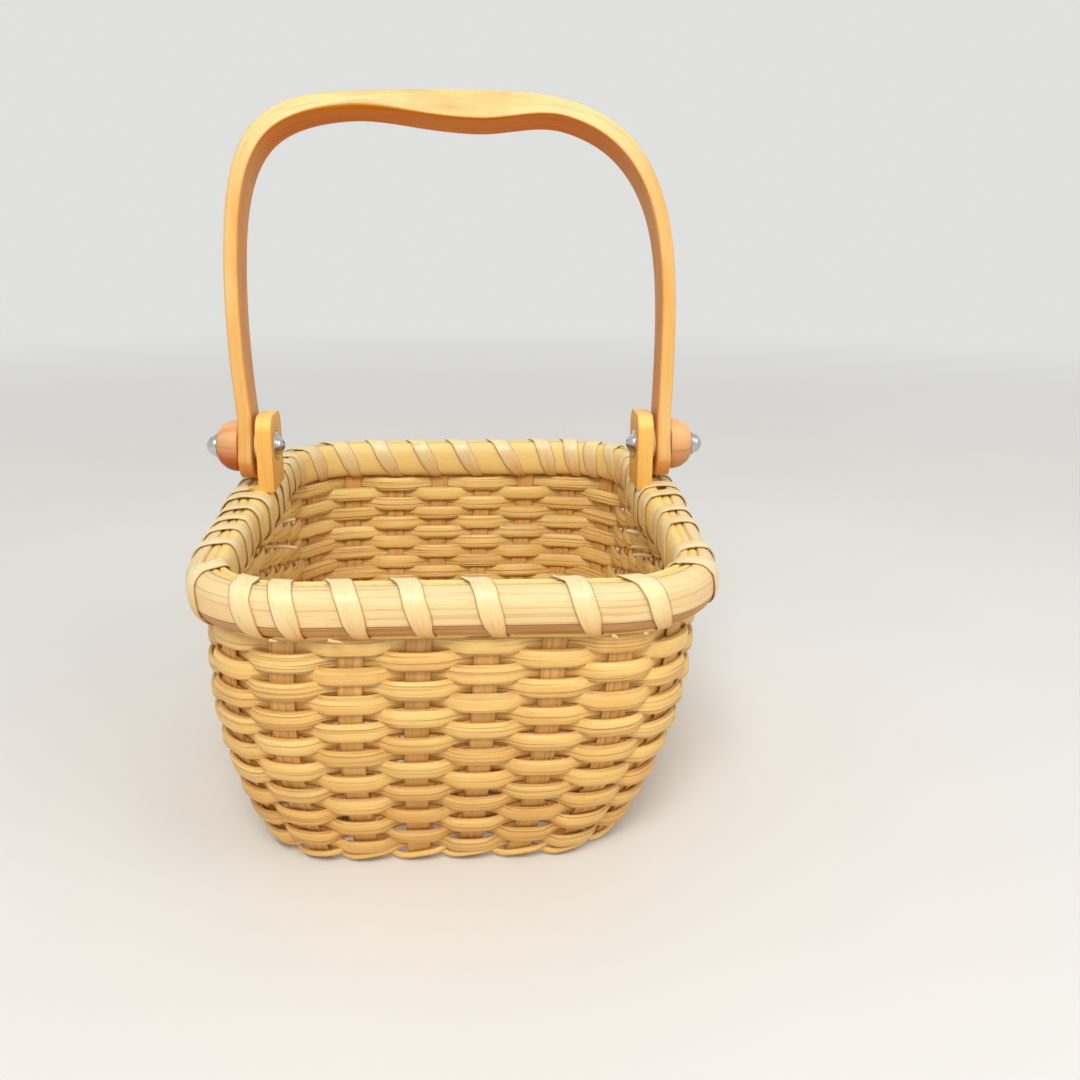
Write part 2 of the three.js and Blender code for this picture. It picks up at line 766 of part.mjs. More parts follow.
// Woven body
const body = new THREE.Group();
basket.add(body);
const crossPlaces = basePlaces(lengthwiseStakes, crosswiseStakes, 'y');
const longPlaces = basePlaces(0, lengthwiseStakes, 'x').reverse().map((x) => -x);
for (let i = 0; i < lengthwiseStakes; i += 1) {
  const far = 2 * lengthwiseStakes + crosswiseStakes - 1 - i;
  place(body, `stake_long_${i + 1}`, stake(i, far, crossPlaces, i % 2 === 0), stakeMaterial);
}
for (let i = 0; i < crosswiseStakes; i += 1) {
  const number = lengthwiseStakes + i;
  const far = uprights - 1 - i;
  place(body, `stake_cross_${i + 1}`, stake(number, far, longPlaces, i % 2 === 0), stakeMaterial);
}
for (let i = 0; i < rowCount; i += 1) {
  const z = firstRowZ + rowPitch * i;
  const height = rowPitch * Math.hypot(1, wallSlope(z)) - rowGap;
  const outsideFirst = (rowCount - 1 - i) % 2 === 0;
  const name = `weaver_row_${String(i + 1).padStart(2, '0')}`;
  place(body, name, weaverRow(z, height, weaverThickness, outsideFirst), weaverMaterial);
}
footStrandZ.forEach((z, i) => {
  const name = i === 0 ? 'foot_strand_lower' : 'foot_strand_upper';
  place(body, name, weaverRow(z, footStrandHeight, footStrandThickness, i === 0), weaverMaterial);
});

// Rim
const rim = new THREE.Group();
basket.add(rim);
const stripMiddleZ = rimBottomZ + rimStripHeight / 2;
const outerMiddle = (outerStripIn + outerStripOut) / 2;
const innerMiddle = (innerStripIn + innerStripOut) / 2;
const fullRound = [0, 1];
const frontPart = [leftEarShare - 1 + earSlotShare, rightEarShare - earSlotShare];
const backPart = [rightEarShare + earSlotShare, leftEarShare - earSlotShare];
place(
  rim,
  'rim_outer',
  rimBand(...fullRound, outerMiddle, outerStripThickness / 2, stripMiddleZ, rimStripHeight / 2, halfRoundSection),
  rimMaterial,
);
place(
  rim,
  'rim_inner',
  rimBand(...fullRound, innerMiddle, innerStripThickness / 2, stripMiddleZ, rimStripHeight / 2, halfRoundSection),
  rimMaterial,
);
const fillerMiddleOut = (stakeThickness / 2 + fitGap + rimRowThickness + innerStripOut + fitGap) / 2;
const fillerZ = stakeTopZ + fitGap + fillerHeight / 2;
const rimRowBottom = rimBottomZ + fitGap;
const rimRowMiddleZ = (rimRowBottom + stakeTopZ) / 2;
const rimRowHalf = (stakeTopZ - rimRowBottom) / 2;
[['front', frontPart], ['back', backPart]].forEach(([name, part]) => {
  place(
    rim,
    `rim_row_${name}`,
    rimBand(...part, rimRowOut, rimRowThickness / 2, rimRowMiddleZ, rimRowHalf, flatSection),
    weaverMaterial,
  );
  place(
    rim,
    `rim_filler_${name}`,
    rimBand(...part, fillerMiddleOut, fillerThickness / 2, fillerZ, fillerHeight / 2, stripSection),
    fillerMaterial,
  );
});
const sideHalf = crosswiseStakes / 2;
const frontLashing = lashing(-sideHalf, lengthwiseStakes + sideHalf - 2);
const backStart = lengthwiseStakes + sideHalf;
const backLashing = lashing(backStart, backStart + lengthwiseStakes + crosswiseStakes - 2);
place(rim, 'lashing_front', frontLashing.geometry, lashingMaterial);
place(rim, 'lashing_back', backLashing.geometry, lashingMaterial);
console.log('lashing gaps', frontLashing.gap.toFixed(2), backLashing.gap.toFixed(2));

// Ears and the hardware on the pivot line, the left side as the mirror of the right
for (const [name, side] of [['right', 1], ['left', -1]]) {
  const group = new THREE.Group();
  group.rotation.z = side > 0 ? 0 : Math.PI;
  basket.add(group);
  place(group, `ear_${name}`, ear(), earMaterial);
  const pins = new THREE.Group();
  pins.position.z = pivotZ;
  group.add(pins);
  place(pins, `bolt_${name}`, bolt(), metalMaterial);
  place(pins, `bolt_washer_${name}`, boltWasher(), metalMaterial);
  place(pins, `spacer_washer_${name}`, spacerWasher(), spacerMaterial);
  place(pins, `bead_${name}`, bead(), beadMaterial);
  place(pins, `cap_nut_${name}`, capNut(), metalMaterial);
}
place(rim, 'lashing_tuck_right', lashingTuck(rightTuckUpright, 1), lashingMaterial);
place(rim, 'lashing_tuck_left', lashingTuck(leftTuckUpright, -1), lashingMaterial);

// Handle, leaning back on its bolts
const swing = new THREE.Group();
swing.position.z = pivotZ;
swing.rotation.x = -THREE.MathUtils.degToRad(handleLean);
basket.add(swing);
place(swing, 'handle', handle(), handleMaterial);

export default basket;
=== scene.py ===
"""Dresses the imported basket: woven reed, lashed rim, bentwood handle, ears, beads and hardware.

Sizes in the code are millimetres in the basket's own frame, and meshes are written in metres.
"""
import math
import random

import bmesh
import bpy
import numpy as np
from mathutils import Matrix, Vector


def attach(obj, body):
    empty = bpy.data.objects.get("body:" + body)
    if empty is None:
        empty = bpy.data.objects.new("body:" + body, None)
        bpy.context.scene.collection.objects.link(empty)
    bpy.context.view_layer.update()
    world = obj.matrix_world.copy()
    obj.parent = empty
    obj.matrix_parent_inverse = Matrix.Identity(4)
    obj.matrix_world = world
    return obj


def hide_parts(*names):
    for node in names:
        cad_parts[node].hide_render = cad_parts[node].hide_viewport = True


bl_info = {
    "name": "Woven swing handle basket",
    "version": (1, 0, 0),
    "blender": (4, 5, 0),
    "location": "View3D > Sidebar > Basket",
    "description": "Builds the visible pieces of a small woven basket over its packed frame",
    "category": "Add Mesh",
}

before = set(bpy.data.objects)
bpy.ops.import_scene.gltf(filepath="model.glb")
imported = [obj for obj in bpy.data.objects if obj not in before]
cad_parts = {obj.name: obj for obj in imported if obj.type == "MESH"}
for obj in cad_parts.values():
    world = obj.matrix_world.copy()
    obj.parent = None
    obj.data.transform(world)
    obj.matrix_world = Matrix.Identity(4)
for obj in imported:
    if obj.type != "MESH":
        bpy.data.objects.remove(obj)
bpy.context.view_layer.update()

MM = 0.001
CM = 0.01
QUARTER_TURN = math.pi / 2

# Wall of the basket: half sizes of the middle surface of the stakes
WALL_HALF_WIDTH = 62.1
WALL_HALF_LENGTH = 82.1
WALL_CORNER_TOP = 25.0
WALL_CORNER_BASE = 24.0
WALL_INSET_BASE = 13.8
WALL_CURVE_HEIGHT = 60.0
STAKES_LONG = 8
STAKES_CROSS = 8
UPRIGHTS = 2 * (STAKES_LONG + STAKES_CROSS)
STAKE_TOP = 80.6

# Where the rings of reed and the rim strips start and end: at the right ear, halfway between two uprights
SEAM_NUMBER = 11.5
SEAM_SHARE = 0.25

# Rim
RIM_BOTTOM = 72.1
RIM_HEIGHT = 12.5
RIM_TOP = RIM_BOTTOM + RIM_HEIGHT
RIM_RISE = 3.0
RIM_RISE_REACH = 70.0

# Swelling of the rim beside the ears: upwards, inwards, how far along it reaches and where it fades
EAR_SWELL_UP = 1.7
EAR_SWELL_IN = 2.8
EAR_SWELL_REACH = 27.0
EAR_SWELL_FADE = 16.0

# How far the foot sits to the left of the rim, which is woven a little out of true
FOOT_LEAN = 4.2

# Rim strips, as distances out from the middle of the stakes
OUTER_STRIP_IN = 2.26
OUTER_STRIP_OUT = 7.06
INNER_STRIP_OUT = -0.8
INNER_STRIP_IN = -4.0

# Pivot line of the handle
PIVOT_Z = 101.0
PIVOT_X = 61.2
EAR_OUTER_X = 59.6
EAR_THICKNESS = 4.6
EAR_FOOT_IN = 61.6
EAR_FOOT_OUT = 63.9
HANDLE_THICKNESS = 4.4

# Start of the names of the basket's own materials
LOOK = "dressed "

# Pale background behind the floor, as a screen colour
BACKGROUND = (0.88, 0.88, 0.87)

# Stage and camera, in metres: the floor lies a little below the basket, so that the two don't touch
FLOOR_REACH = 6.0
FLOOR_DROP = 0.0002
LAMP_TARGET = (0, 0, 0.07)
CAMERA_PLACE = (0.0061, -0.3297, 0.1704)

# Camera's lens in millimetres, and its degrees to the right, below level and of roll
CAMERA_SENSOR = 36.0
CAMERA_LENS = 36.1
CAMERA_HEADING = 3.43
CAMERA_DIP = 16.94
CAMERA_ROLL = 0.4


def smooth_step(value):
    t = min(1.0, max(0.0, value))
    return t * t * (3 - 2 * t)


def turn_steps(count):
    """Even angles once round."""
    return [2 * math.pi * i / count for i in range(count)]


def alternate(number):
    """1 for even numbers and -1 for odd ones."""
    return 1 if number % 2 == 0 else -1


def unit_rows(vectors):
    return vectors / np.linalg.norm(vectors, axis=1)[:, None]


def placed(name, data):
    """A new object in the scene."""
    holder = bpy.data.objects.new(name, data)
    bpy.context.scene.collection.objects.link(holder)
    return holder


# The woven wall, as a surface: a share of the way round, a height, and a distance out from the stakes

def wall_inset(z):
    share = max(0.0, 1 - z / WALL_CURVE_HEIGHT)
    return WALL_INSET_BASE * share * share


def wall_slope(z):
    share = max(0.0, 1 - z / WALL_CURVE_HEIGHT)
    return 2 * WALL_INSET_BASE * share / WALL_CURVE_HEIGHT


def corner_radius(z):
    shrink = wall_inset(z) / WALL_INSET_BASE
    return WALL_CORNER_TOP + (WALL_CORNER_BASE - WALL_CORNER_TOP) * shrink


def outline(share, z):
    """A point of the wall and its outward direction in plan."""
    inset = wall_inset(z)
    radius = corner_radius(z)
    flat_front = WALL_HALF_WIDTH - inset - radius
    flat_side = WALL_HALF_LENGTH - inset - radius
    quarter = (share % 1.0) * 4
    number = int(quarter) % 4
    part = quarter - int(quarter)
    if number % 2 == 1:
        part = 1 - part
    along = part * (flat_front + flat_side + radius * QUARTER_TURN)
    x = min(along, flat_front)
    y = -(flat_side + radius)
    turn = 0.0
    if along > flat_front:
        turn = min(QUARTER_TURN, (along - flat_front) / radius)
        straight = max(0.0, along - flat_front - radius * QUARTER_TURN)
        x = flat_front + radius * math.sin(turn)
        y = -flat_side - radius * math.cos(turn) + straight
    flip_x = -1 if number >= 2 else 1
    flip_y = -1 if number in (1, 2) else 1
    outward = Vector((math.sin(turn) * flip_x, -math.cos(turn) * flip_y, 0))
    return Vector((x * flip_x, y * flip_y, z)), outward


def wall_frame(share, z):
    """The wall's point, and its directions outward, up and round at a share and height."""
    point, outward = outline(share, z)
    up = (outward * wall_slope(z) + Vector((0, 0, 1))).normalized()
    around = Vector((0, 0, 1)).cross(outward).normalized()
    return point, around.cross(up).normalized(), up, around


def quarter_length(z):
    return WALL_HALF_WIDTH + WALL_HALF_LENGTH - 2 * wall_inset(z) - (2 - QUARTER_TURN) * corner_radius(z)


def upright_share(number):
    return (number - STAKES_LONG / 2 + 0.5) / UPRIGHTS


def lifted(point):
    """The rim rises towards the ears with the weaving below it, and the foot sits to the left."""
    reach = min(1.0, abs(point.y) / RIM_RISE_REACH)
    bump = math.cos(reach * QUARTER_TURN) ** 2
    height = max(0.0, point.z)
    lean = FOOT_LEAN * max(0.0, 1 - height / RIM_BOTTOM)
    return Vector((point.x - lean, point.y, point.z + RIM_RISE * bump * height / RIM_TOP))


def on_wall(share, z, out):
    """A place on the rim, which swells upwards and inwards where the ears go in."""
    point, outward, _, _ = wall_frame(share, z)
    beside_ear = smooth_step((EAR_SWELL_REACH - abs(point.y)) / EAR_SWELL_FADE)
    in_rim = smooth_step((z - RIM_BOTTOM + 4) / 8)
    inward = EAR_SWELL_IN * beside_ear * in_rim * min(1.0, max(0.0, -out / 4))
    place = lifted(point + outward * (out - inward))
    place.z += EAR_SWELL_UP * beside_ear * smooth_step((z - RIM_BOTTOM) / RIM_HEIGHT)
    return place


# Meshes: a body swept along a path, with fibre coordinates in centimetres along and round it

def smooth_path(points, per_span, closed=False):
    """Points along a soft curve through the given ones."""
    points = np.array(points, float)
    count = len(points)
    spans = count if closed else count - 1
    result = []
    for i in range(spans):
        if closed:
            a, b, c, d = (points[(i + k) % count] for k in (-1, 0, 1, 2))
        else:
            b, c = points[i], points[i + 1]
            a = points[i - 1] if i > 0 else 2 * b - c
            d = points[i + 2] if i + 2 < count else 2 * c - b
        for j in range(per_span):
            t = j / per_span
            result.append(0.5 * (2 * b + (c - a) * t + (2 * a - 5 * b + 4 * c - d) * t * t
                                 + (3 * b - a - 3 * c + d) * t ** 3))
    if not closed:
        result.append(points[-1])
    return np.array(result)


def swept_rings(centres, wides, deeps, section):
    """Rings of points: every section point is a share of the half width and of the half depth."""
    u = np.array([p[0] for p in section])[None, :, None]
    v = np.array([p[1] for p in section])[None, :, None]
    centres, wides, deeps = (np.asarray(a, float)[:, None, :] for a in (centres, wides, deeps))
    return centres + wides * u + deeps * v


def ring_faces(stations, sides, closed):
    faces = []
    for i in range(stations if closed else stations - 1):
        here, there = i * sides, ((i + 1) % stations) * sides
        for j in range(sides):
            k = (j + 1) % sides
            faces.append((here + j, there + j, there + k, here + k))
    return faces


def fibre_shift(seed):
    """Where in the wood's pattern a piece is cut, so that no two look alike."""
    draw = random.Random(seed)
    return draw.uniform(0, 60), draw.uniform(0, 60)


def fibre_coordinates(rings, closed, faces, sides, shift):
    """Fibre coordinates of each face corner: along the piece and round it, in centimetres."""
    centres = rings.mean(axis=1)
    steps = np.linalg.norm(np.diff(centres, axis=0), axis=1)
    along = np.concatenate([[0.0], np.cumsum(steps)])
    whole = along[-1] + (np.linalg.norm(centres[0] - centres[-1]) if closed else 0.0)
    loop = np.concatenate([rings, rings[:, :1]], axis=1)
    edge = np.linalg.norm(np.diff(loop, axis=1), axis=2).mean(axis=0)
    around = np.concatenate([[0.0], np.cumsum(edge)])
    result = []
    stations = len(rings)
    for face in faces:
        if len(face) != 4:
            result.extend((along[index // sides] / 10 + shift[0], shift[1]) for index in face)
            continue
        station, side = divmod(face[0], sides)
        u0 = along[station]
        u1 = along[station + 1] if station + 1 < stations else whole
        v0, v1 = around[side], around[side + 1]
        for u, v in ((u0, v0), (u1, v0), (u1, v1), (u0, v1)):
            result.append((u / 10 + shift[0], v / 10 + shift[1]))
    return result


def rings_volume(rings, closed):
    centre = rings.mean(axis=(0, 1))
    a = rings - centre
    b = np.roll(a, -1, axis=0)
    c = np.roll(b, -1, axis=1)
    triple = np.einsum("ijk,ijk->ij", a, np.cross(b, c))
    return triple.sum() if closed else triple[:-1].sum()


def swept_piece(name, rings, closed, tones, shades_and_stains, seed):
    """A mesh object from rings of points in millimetres. Open bodies get flat ends."""
    rings = np.asarray(rings, float)
    if rings_volume(rings, closed) < 0:
        rings = rings[:, ::-1]
        tones, shades_and_stains = (values[:, ::-1] if np.ndim(values) == 2 else values
                           for values in (None if tones is None else np.asarray(tones),
                                          None if shades_and_stains is None else np.asarray(shades_and_stains)))
    stations, sides = rings.shape[:2]
    faces = ring_faces(stations, sides, closed)
    if not closed:
        last = (stations - 1) * sides
        faces.append(tuple(range(sides)))
        faces.append(tuple(last + j for j in reversed(range(sides))))
    mesh = bpy.data.meshes.new(name)
    mesh.from_pydata((rings.reshape(-1, 3) * MM).tolist(), [], faces)
    coordinates = fibre_coordinates(rings, closed, faces, sides, fibre_shift(seed))
    layer = mesh.uv_layers.new(name="fibre")
    layer.data.foreach_set("uv", np.array(coordinates, np.float32).ravel())
    add_values(mesh, "tone", tones, stations, sides)
    add_values(mesh, "crevice", shades_and_stains, stations, sides)
    mesh.polygons.foreach_set("use_smooth", [True] * len(faces))
    mesh.update()
    return placed(name, mesh)


def add_values(mesh, name, values, stations, sides):
    """A value for each point, from one for each ring or one for each point of each ring."""
    if values is None:
        values = np.full(stations, 0.5 if name == "tone" else 0.0)
    values = np.asarray(values, float)
    if values.ndim == 1:
        values = np.repeat(values[:, None], sides, axis=1)
    layer = mesh.attributes.new(name, "FLOAT", "POINT")
    layer.data.foreach_set("value", values.ravel().astype(np.float32))


def dress(piece, material, slot, *nodes, body="basket"):
    """Gives a piece its material and says what it rides on and which nodes it stands for."""
    piece.data.materials.clear()
    piece.data.materials.append(material)
    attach(piece, body)
    if nodes:
        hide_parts(*nodes)


# Sections: shares of the half width and half depth

def oval_section(points, outer_power, inner_power=None):
    """A rounded section. The outer face can be rounder than the inner one."""
    section = []
    for angle in turn_steps(points):
        c, s = math.cos(angle), math.sin(angle)
        power = 2 / (outer_power if s >= 0 or inner_power is None else inner_power)
        section.append((math.copysign(abs(c) ** power, c), math.copysign(abs(s) ** power, s)))
    return section


REED_SECTION = oval_section(20, 2.3)
SPLINT_SECTION = oval_section(12, 3.6)
CANE_SECTION = oval_section(10, 2.6, 4.0)
ROUND_SECTION = oval_section(10, 2.0)


# Shader helpers

class Shader:
    """Builds one material. Each call adds a node and returns its output socket."""

    def __init__(self, name):
        self.material = bpy.data.materials.new(LOOK + name)
        self.material.use_nodes = True
        self.tree = self.material.node_tree
        self.tree.nodes.clear()

    def link(self, value, socket):
        if isinstance(value, bpy.types.NodeSocket):
            self.tree.links.new(value, socket)
        elif value is not None:
            socket.default_value = value

    def fibre_uv(self):
        node = self.tree.nodes.new("ShaderNodeUVMap")
        node.uv_map = "fibre"
        return node.outputs["UV"]

    def object_point(self):
        return self.tree.nodes.new("ShaderNodeTexCoord").outputs["Object"]

    def value_of(self, name):
        node = self.tree.nodes.new("ShaderNodeAttribute")
        node.attribute_name = name
        return node.outputs["Fac"]

    def stretched(self, vector, scale, location=(0, 0, 0)):
        node = self.tree.nodes.new("ShaderNodeMapping")
        node.inputs["Scale"].default_value = scale
        node.inputs["Location"].default_value = location
        self.link(vector, node.inputs["Vector"])
        return node.outputs["Vector"]

    def noise(self, vector, detail, roughness=0.55, distortion=0.0):
        node = self.tree.nodes.new("ShaderNodeTexNoise")
        amounts = (("Scale", 1), ("Detail", detail), ("Roughness", roughness), ("Distortion", distortion))
        for socket, amount in amounts:
            node.inputs[socket].default_value = amount
        self.link(vector, node.inputs["Vector"])
        return node.outputs["Fac"]

    def spread(self, value, low, high, to_low=0.0, to_high=1.0):
        node = self.tree.nodes.new("ShaderNodeMapRange")
        amounts = (("From Min", low), ("From Max", high), ("To Min", to_low), ("To Max", to_high))
        for socket, amount in amounts:
            node.inputs[socket].default_value = amount
        self.link(value, node.inputs["Value"])
        return node.outputs["Result"]

    def math(self, operation, a, b, clamp=False):
        node = self.tree.nodes.new("ShaderNodeMath")
        node.operation = operation
        node.use_clamp = clamp
        self.link(a, node.inputs[0])
        self.link(b, node.inputs[1])
        return node.outputs[0]

    def times(self, a, b):
        return self.math("MULTIPLY", a, b)

    def mix(self, factor, a, b, mode="MIX"):
        node = self.tree.nodes.new("ShaderNodeMix")
        node.data_type = "RGBA"
        node.blend_type = mode
        self.link(factor, node.inputs[0])
        self.link(a, node.inputs[6])
        self.link(b, node.inputs[7])
        return node.outputs[2]

    def darkened_by(self, color, shade_and_stain_tint):
        return self.mix(1.0, color, linear(shade_and_stain_tint), "MULTIPLY")

    def bump(self, height, strength, distance_mm):
        node = self.tree.nodes.new("ShaderNodeBump")
        node.inputs["Strength"].default_value = strength
        node.inputs["Distance"].default_value = distance_mm * MM
        self.link(height, node.inputs["Height"])
        return node.outputs["Normal"]

    def finish(self, color, roughness, normal, **fixed):
        shader = self.tree.nodes.new("ShaderNodeBsdfPrincipled")
        output = self.tree.nodes.new("ShaderNodeOutputMaterial")
        self.link(color, shader.inputs["Base Color"])
        self.link(roughness, shader.inputs["Roughness"])
        self.link(normal, shader.inputs["Normal"])
        for name, amount in fixed.items():
            shader.inputs[name.replace("_", " ")].default_value = amount
        self.tree.links.new(shader.outputs["BSDF"], output.inputs["Surface"])
        return self.material


def linear(color, alpha=1.0):
    """A screen colour, 0 to 1, as the linear light value that a shader takes."""
    def channel(c):
        return c / 12.92 if c <= 0.04045 else ((c + 0.055) / 1.055) ** 2.4
    return tuple(channel(c) for c in color[:3]) + (alpha,)


def reed_material(name, pale, deep, streak, fine, grooves, streaks, gloss=(0.42, 0.62), variety=0.5,
                  ridges=0.0, shade_and_stain_tint=(0.86, 0.72, 0.54), edge_line=0.0):
    """Split cane or reed: fine fibres and ridges along it, darker pores, and painted shade in the hollows and
    along shaded edges, which on the outer rim strip also gives the darker wood of the band along its foot.

    fine is how many fibres lie in a centimetre, and variety how much of the colour the piece's tone decides.
    """
    s = Shader(name)
    uv = s.fibre_uv()
    fibres = s.noise(s.stretched(uv, (0.5, fine, 1)), detail=4, roughness=0.6)
    broad = s.noise(s.stretched(uv, (0.35, 2.2, 1), (7, 3, 0)), detail=2)
    pores = s.noise(s.stretched(uv, (1.6, fine * 1.7, 1), (3, 9, 0)), detail=2, roughness=0.7)
    mixed = s.math("ADD", s.times(s.spread(fibres, 0.3, 0.7), 0.45), s.times(s.spread(broad, 0.3, 0.7), 0.55))
    varied = s.math("ADD", s.times(mixed, 1 - variety), s.times(s.value_of("tone"), variety), clamp=True)
    color = s.mix(varied, linear(deep), linear(pale))
    color = s.mix(s.spread(pores, 0.60, 0.74, 0, streaks), color, linear(streak))
    height = s.math("ADD", fibres, s.times(pores, -0.3))
    if ridges:
        lines = s.noise(s.stretched(uv, (0.12, 9, 1), (11, 4, 0)), detail=1, roughness=0.4)
        furrow = s.spread(lines, 0.54, 0.64)
        color = s.mix(s.times(furrow, ridges * 0.7), color, linear(streak))
        height = s.math("ADD", height, s.times(furrow, -2.2 * ridges))
    # Painted shade: the colour is darkened by the tint in hollows, along shaded edges and under things,
    # wherever the piece marks it; on the outer rim strip this also gives the darker wood of its foot band
    crevice = s.value_of("crevice")
    color = s.mix(s.times(crevice, s.spread(broad, 0.3, 0.6, 0.65, 1.0)), color, s.darkened_by(color, shade_and_stain_tint))
    if edge_line:
        border = s.times(s.spread(crevice, 0.12, 0.3), s.spread(crevice, 0.75, 0.5))
        color = s.mix(s.times(border, edge_line), color, linear(streak))
    return s.finish(color, s.spread(fibres, 0.3, 0.7, *gloss), s.bump(height, grooves, 0.3))


# Painted shade on the wood: the deeper tint given to undersides, inner faces and lower sides, where shade
# falls
PAINTED_WOOD_SHADE = (0.92, 0.56, 0.11)


def wood_material(name, pale, deep, line, gloss=(0.32, 0.5), coat=0.0, ring_scale=5.0):
    """Varnished wood with long grain lines that follow the fibre coordinates."""
    s = Shader(name)
    uv = s.fibre_uv()
    wander = s.noise(s.stretched(uv, (0.25, 0.9, 1)), detail=2)
    grain = s.noise(s.stretched(uv, (0.35, ring_scale, 1), (4, 2, 0)), detail=4, roughness=0.6,
                    distortion=0.3)
    pores = s.noise(s.stretched(uv, (1.2, ring_scale * 6, 1), (8, 1, 0)), detail=2, roughness=0.7)
    varied = s.math("ADD", s.times(s.spread(wander, 0.3, 0.7), 0.35), s.times(s.value_of("tone"), 0.65),
                    clamp=True)
    color = s.mix(varied, linear(deep), linear(pale))
    color = s.mix(s.spread(grain, 0.52, 0.75, 0, 0.4), color, linear(line))
    color = s.mix(s.spread(pores, 0.62, 0.78, 0, 0.35), color, linear(line))
    # Painted shade on undersides, inner faces and lower sides, wherever the piece marks it
    color = s.mix(s.value_of("crevice"), color, s.darkened_by(color, PAINTED_WOOD_SHADE))
    return s.finish(color, s.spread(grain, 0.3, 0.7, *gloss), s.bump(pores, 0.12, 0.1),
                    Coat_Weight=coat, Coat_Roughness=0.25, Specular_IOR_Level=0.06,
                    Specular_Tint=(1.0, 0.65, 0.3, 1.0))


# Woven body

STATIONS_PER_UPRIGHT = 12

# From the middle of an upright to the inner face of the reed that passes it
REED_STANDS_OFF = 0.72

# How uneven the hand makes each row, as a seed and a spread: its height, width, distance out, lean and tone
ROW_UNEVENNESS = ((100, 0.16), (200, 0.17), (300, 0.1), (400, 0.13), (500, 0.25))

# Twined strands of the foot: middle height, how far each swings up or down and out or in, and half sizes
FOOT_HEIGHT = 3.05
FOOT_SWING_UP = 0.85
FOOT_SWING_OUT = 1.45
FOOT_HALF_WIDTH = 0.95
FOOT_HALF_THICKNESS = 0.75

# How much an upright gives where the reed presses on it, and the height at which it leaves the base
SPLINT_GIVE = 0.16
SPLINT_STARTS = 1.9

# Space between crossing splints of the base, and the bend from the base up into the wall
BASE_GAP = 0.3
BASE_BEND = 2.2


def upright_noise(seed, spread):
    """One random amount for each upright, and a smooth function of the phase between them."""
    draw = random.Random(seed)
    amounts = [draw.uniform(-spread, spread) for _ in range(UPRIGHTS)]

    def at(phase):
        place = phase / math.pi
        number = math.floor(place)
        t = smooth_step(place - number)
        return amounts[number % UPRIGHTS] * (1 - t) + amounts[(number + 1) % UPRIGHTS] * t
    return at


def weave_side(phase):
    """Which side of the uprights a row is on: 1 is outside. It stays flat over each upright."""
    wave = math.cos(phase)
    return math.tanh(1.6 * wave) / math.tanh(1.6)


def lens_reach(over):
    """Share of the reed's width that its rounded skin fills: all of it over an upright, less between two."""
    return 0.74 + 0.26 * smooth_step(over / 0.6)


def reed_section(over):
    """Section of the reed. Its skin is a full oval over an upright and comes to a point between two."""
    reach = lens_reach(over)
    section = []
    for u, v in REED_SECTION:
        crown = max(0.0, 1 - abs(u / reach) ** 2.4) ** 0.5
        body = 0.42 * math.copysign(max(0.0, 1 - abs(u) ** 4) ** 0.5, v)
        section.append((u, body + math.copysign(0.58 * crown, v)))
    return section


def weaver_row(row, settings):
    """One row of reed: out over one upright and in behind the next, with a hand-made unevenness."""
    z = settings.first_row_height / MM + settings.row_pitch / MM * row
    outside_first = alternate(settings.rows - 1 - row)
    width = settings.reed_width / MM
    thickness = settings.reed_thickness / MM
    rise, swell, push, roll, shade = (upright_noise(seed + row, spread) for seed, spread in ROW_UNEVENNESS)
    row_shade = random.Random(600 + row).uniform(-0.14, 0.14)
    stations = UPRIGHTS * STATIONS_PER_UPRIGHT
    rings, tones, shades_and_stains = [], [], []
    for i in range(stations):
        number = SEAM_NUMBER + i * UPRIGHTS / stations
        phase = number * math.pi
        over = abs(math.cos(phase))
        point, outward, up, _ = wall_frame(upright_share(number), z + rise(phase))
        depth = weave_side(phase) * outside_first * (REED_STANDS_OFF + thickness / 2) + push(phase)
        centre = lifted(point + outward * depth)
        tilt = roll(phase)
        # The reed is a little narrower where it lies over an upright
        height = width / 2 * (1.04 - 0.03 * over + swell(phase) * 0.08)
        wide = (up * math.cos(tilt) + outward * math.sin(tilt)) * height
        deep = (outward * math.cos(tilt) - up * math.sin(tilt)) * thickness / 2
        section = reed_section(over)
        rings.append([list(centre + wide * u + deep * v) for u, v in section])
        # Rows are paler towards the rim. The inside of the wall is painted paler as painted light, to make up
        # for the light its hollow lacks, and the outer face of each pass is painted paler towards its upper
        # edge and deeper towards its lower one, as light from above falls
        whole = 0.7 * row / settings.rows - 0.06 + shade(phase) + row_shade
        reach = lens_reach(over)
        tones.append([whole + (0.7 if v < 0 else 0.26 * u) for u, v in section])
        # Painted shade along the reed's upper and lower edges, widest where it narrows between two uprights
        shades_and_stains.append([0.5 * smooth_step((abs(u) / reach - 0.8) / 0.3) for u, _ in section])
    return swept_piece(f"reed_row_{row + 1:02d}", rings, True, tones, shades_and_stains, seed=row)


def foot_strand(side, seed):
    """One of the two thin strands that twine round each other and round the foot. Side is 1 or -1.

    Both get one name, and Blender numbers the second.
    """
    stations = UPRIGHTS * STATIONS_PER_UPRIGHT
    numbers = [i * UPRIGHTS / stations for i in range(stations)]
    centres, wides, deeps = [], [], []
    unevenness = upright_noise(seed, 0.15)
    for number in numbers:
        phase = number * math.pi
        height = FOOT_HEIGHT + side * FOOT_SWING_UP * math.sin(phase) + unevenness(phase)
        point, outward, up, _ = wall_frame(upright_share(number), height)
        centres.append(lifted(point + outward * (side * FOOT_SWING_OUT * weave_side(phase))))
        wides.append(up * FOOT_HALF_WIDTH)
        deeps.append(outward * FOOT_HALF_THICKNESS)
    rings = swept_rings(centres, wides, deeps, ROUND_SECTION)
    return swept_piece("foot_twine_upper", rings, True, None, None, seed=40 + numbers[-1])


def base_places(first_number, count, axis):
    return sorted(outline(upright_share(first_number + i), 0)[0][axis] for i in range(count))


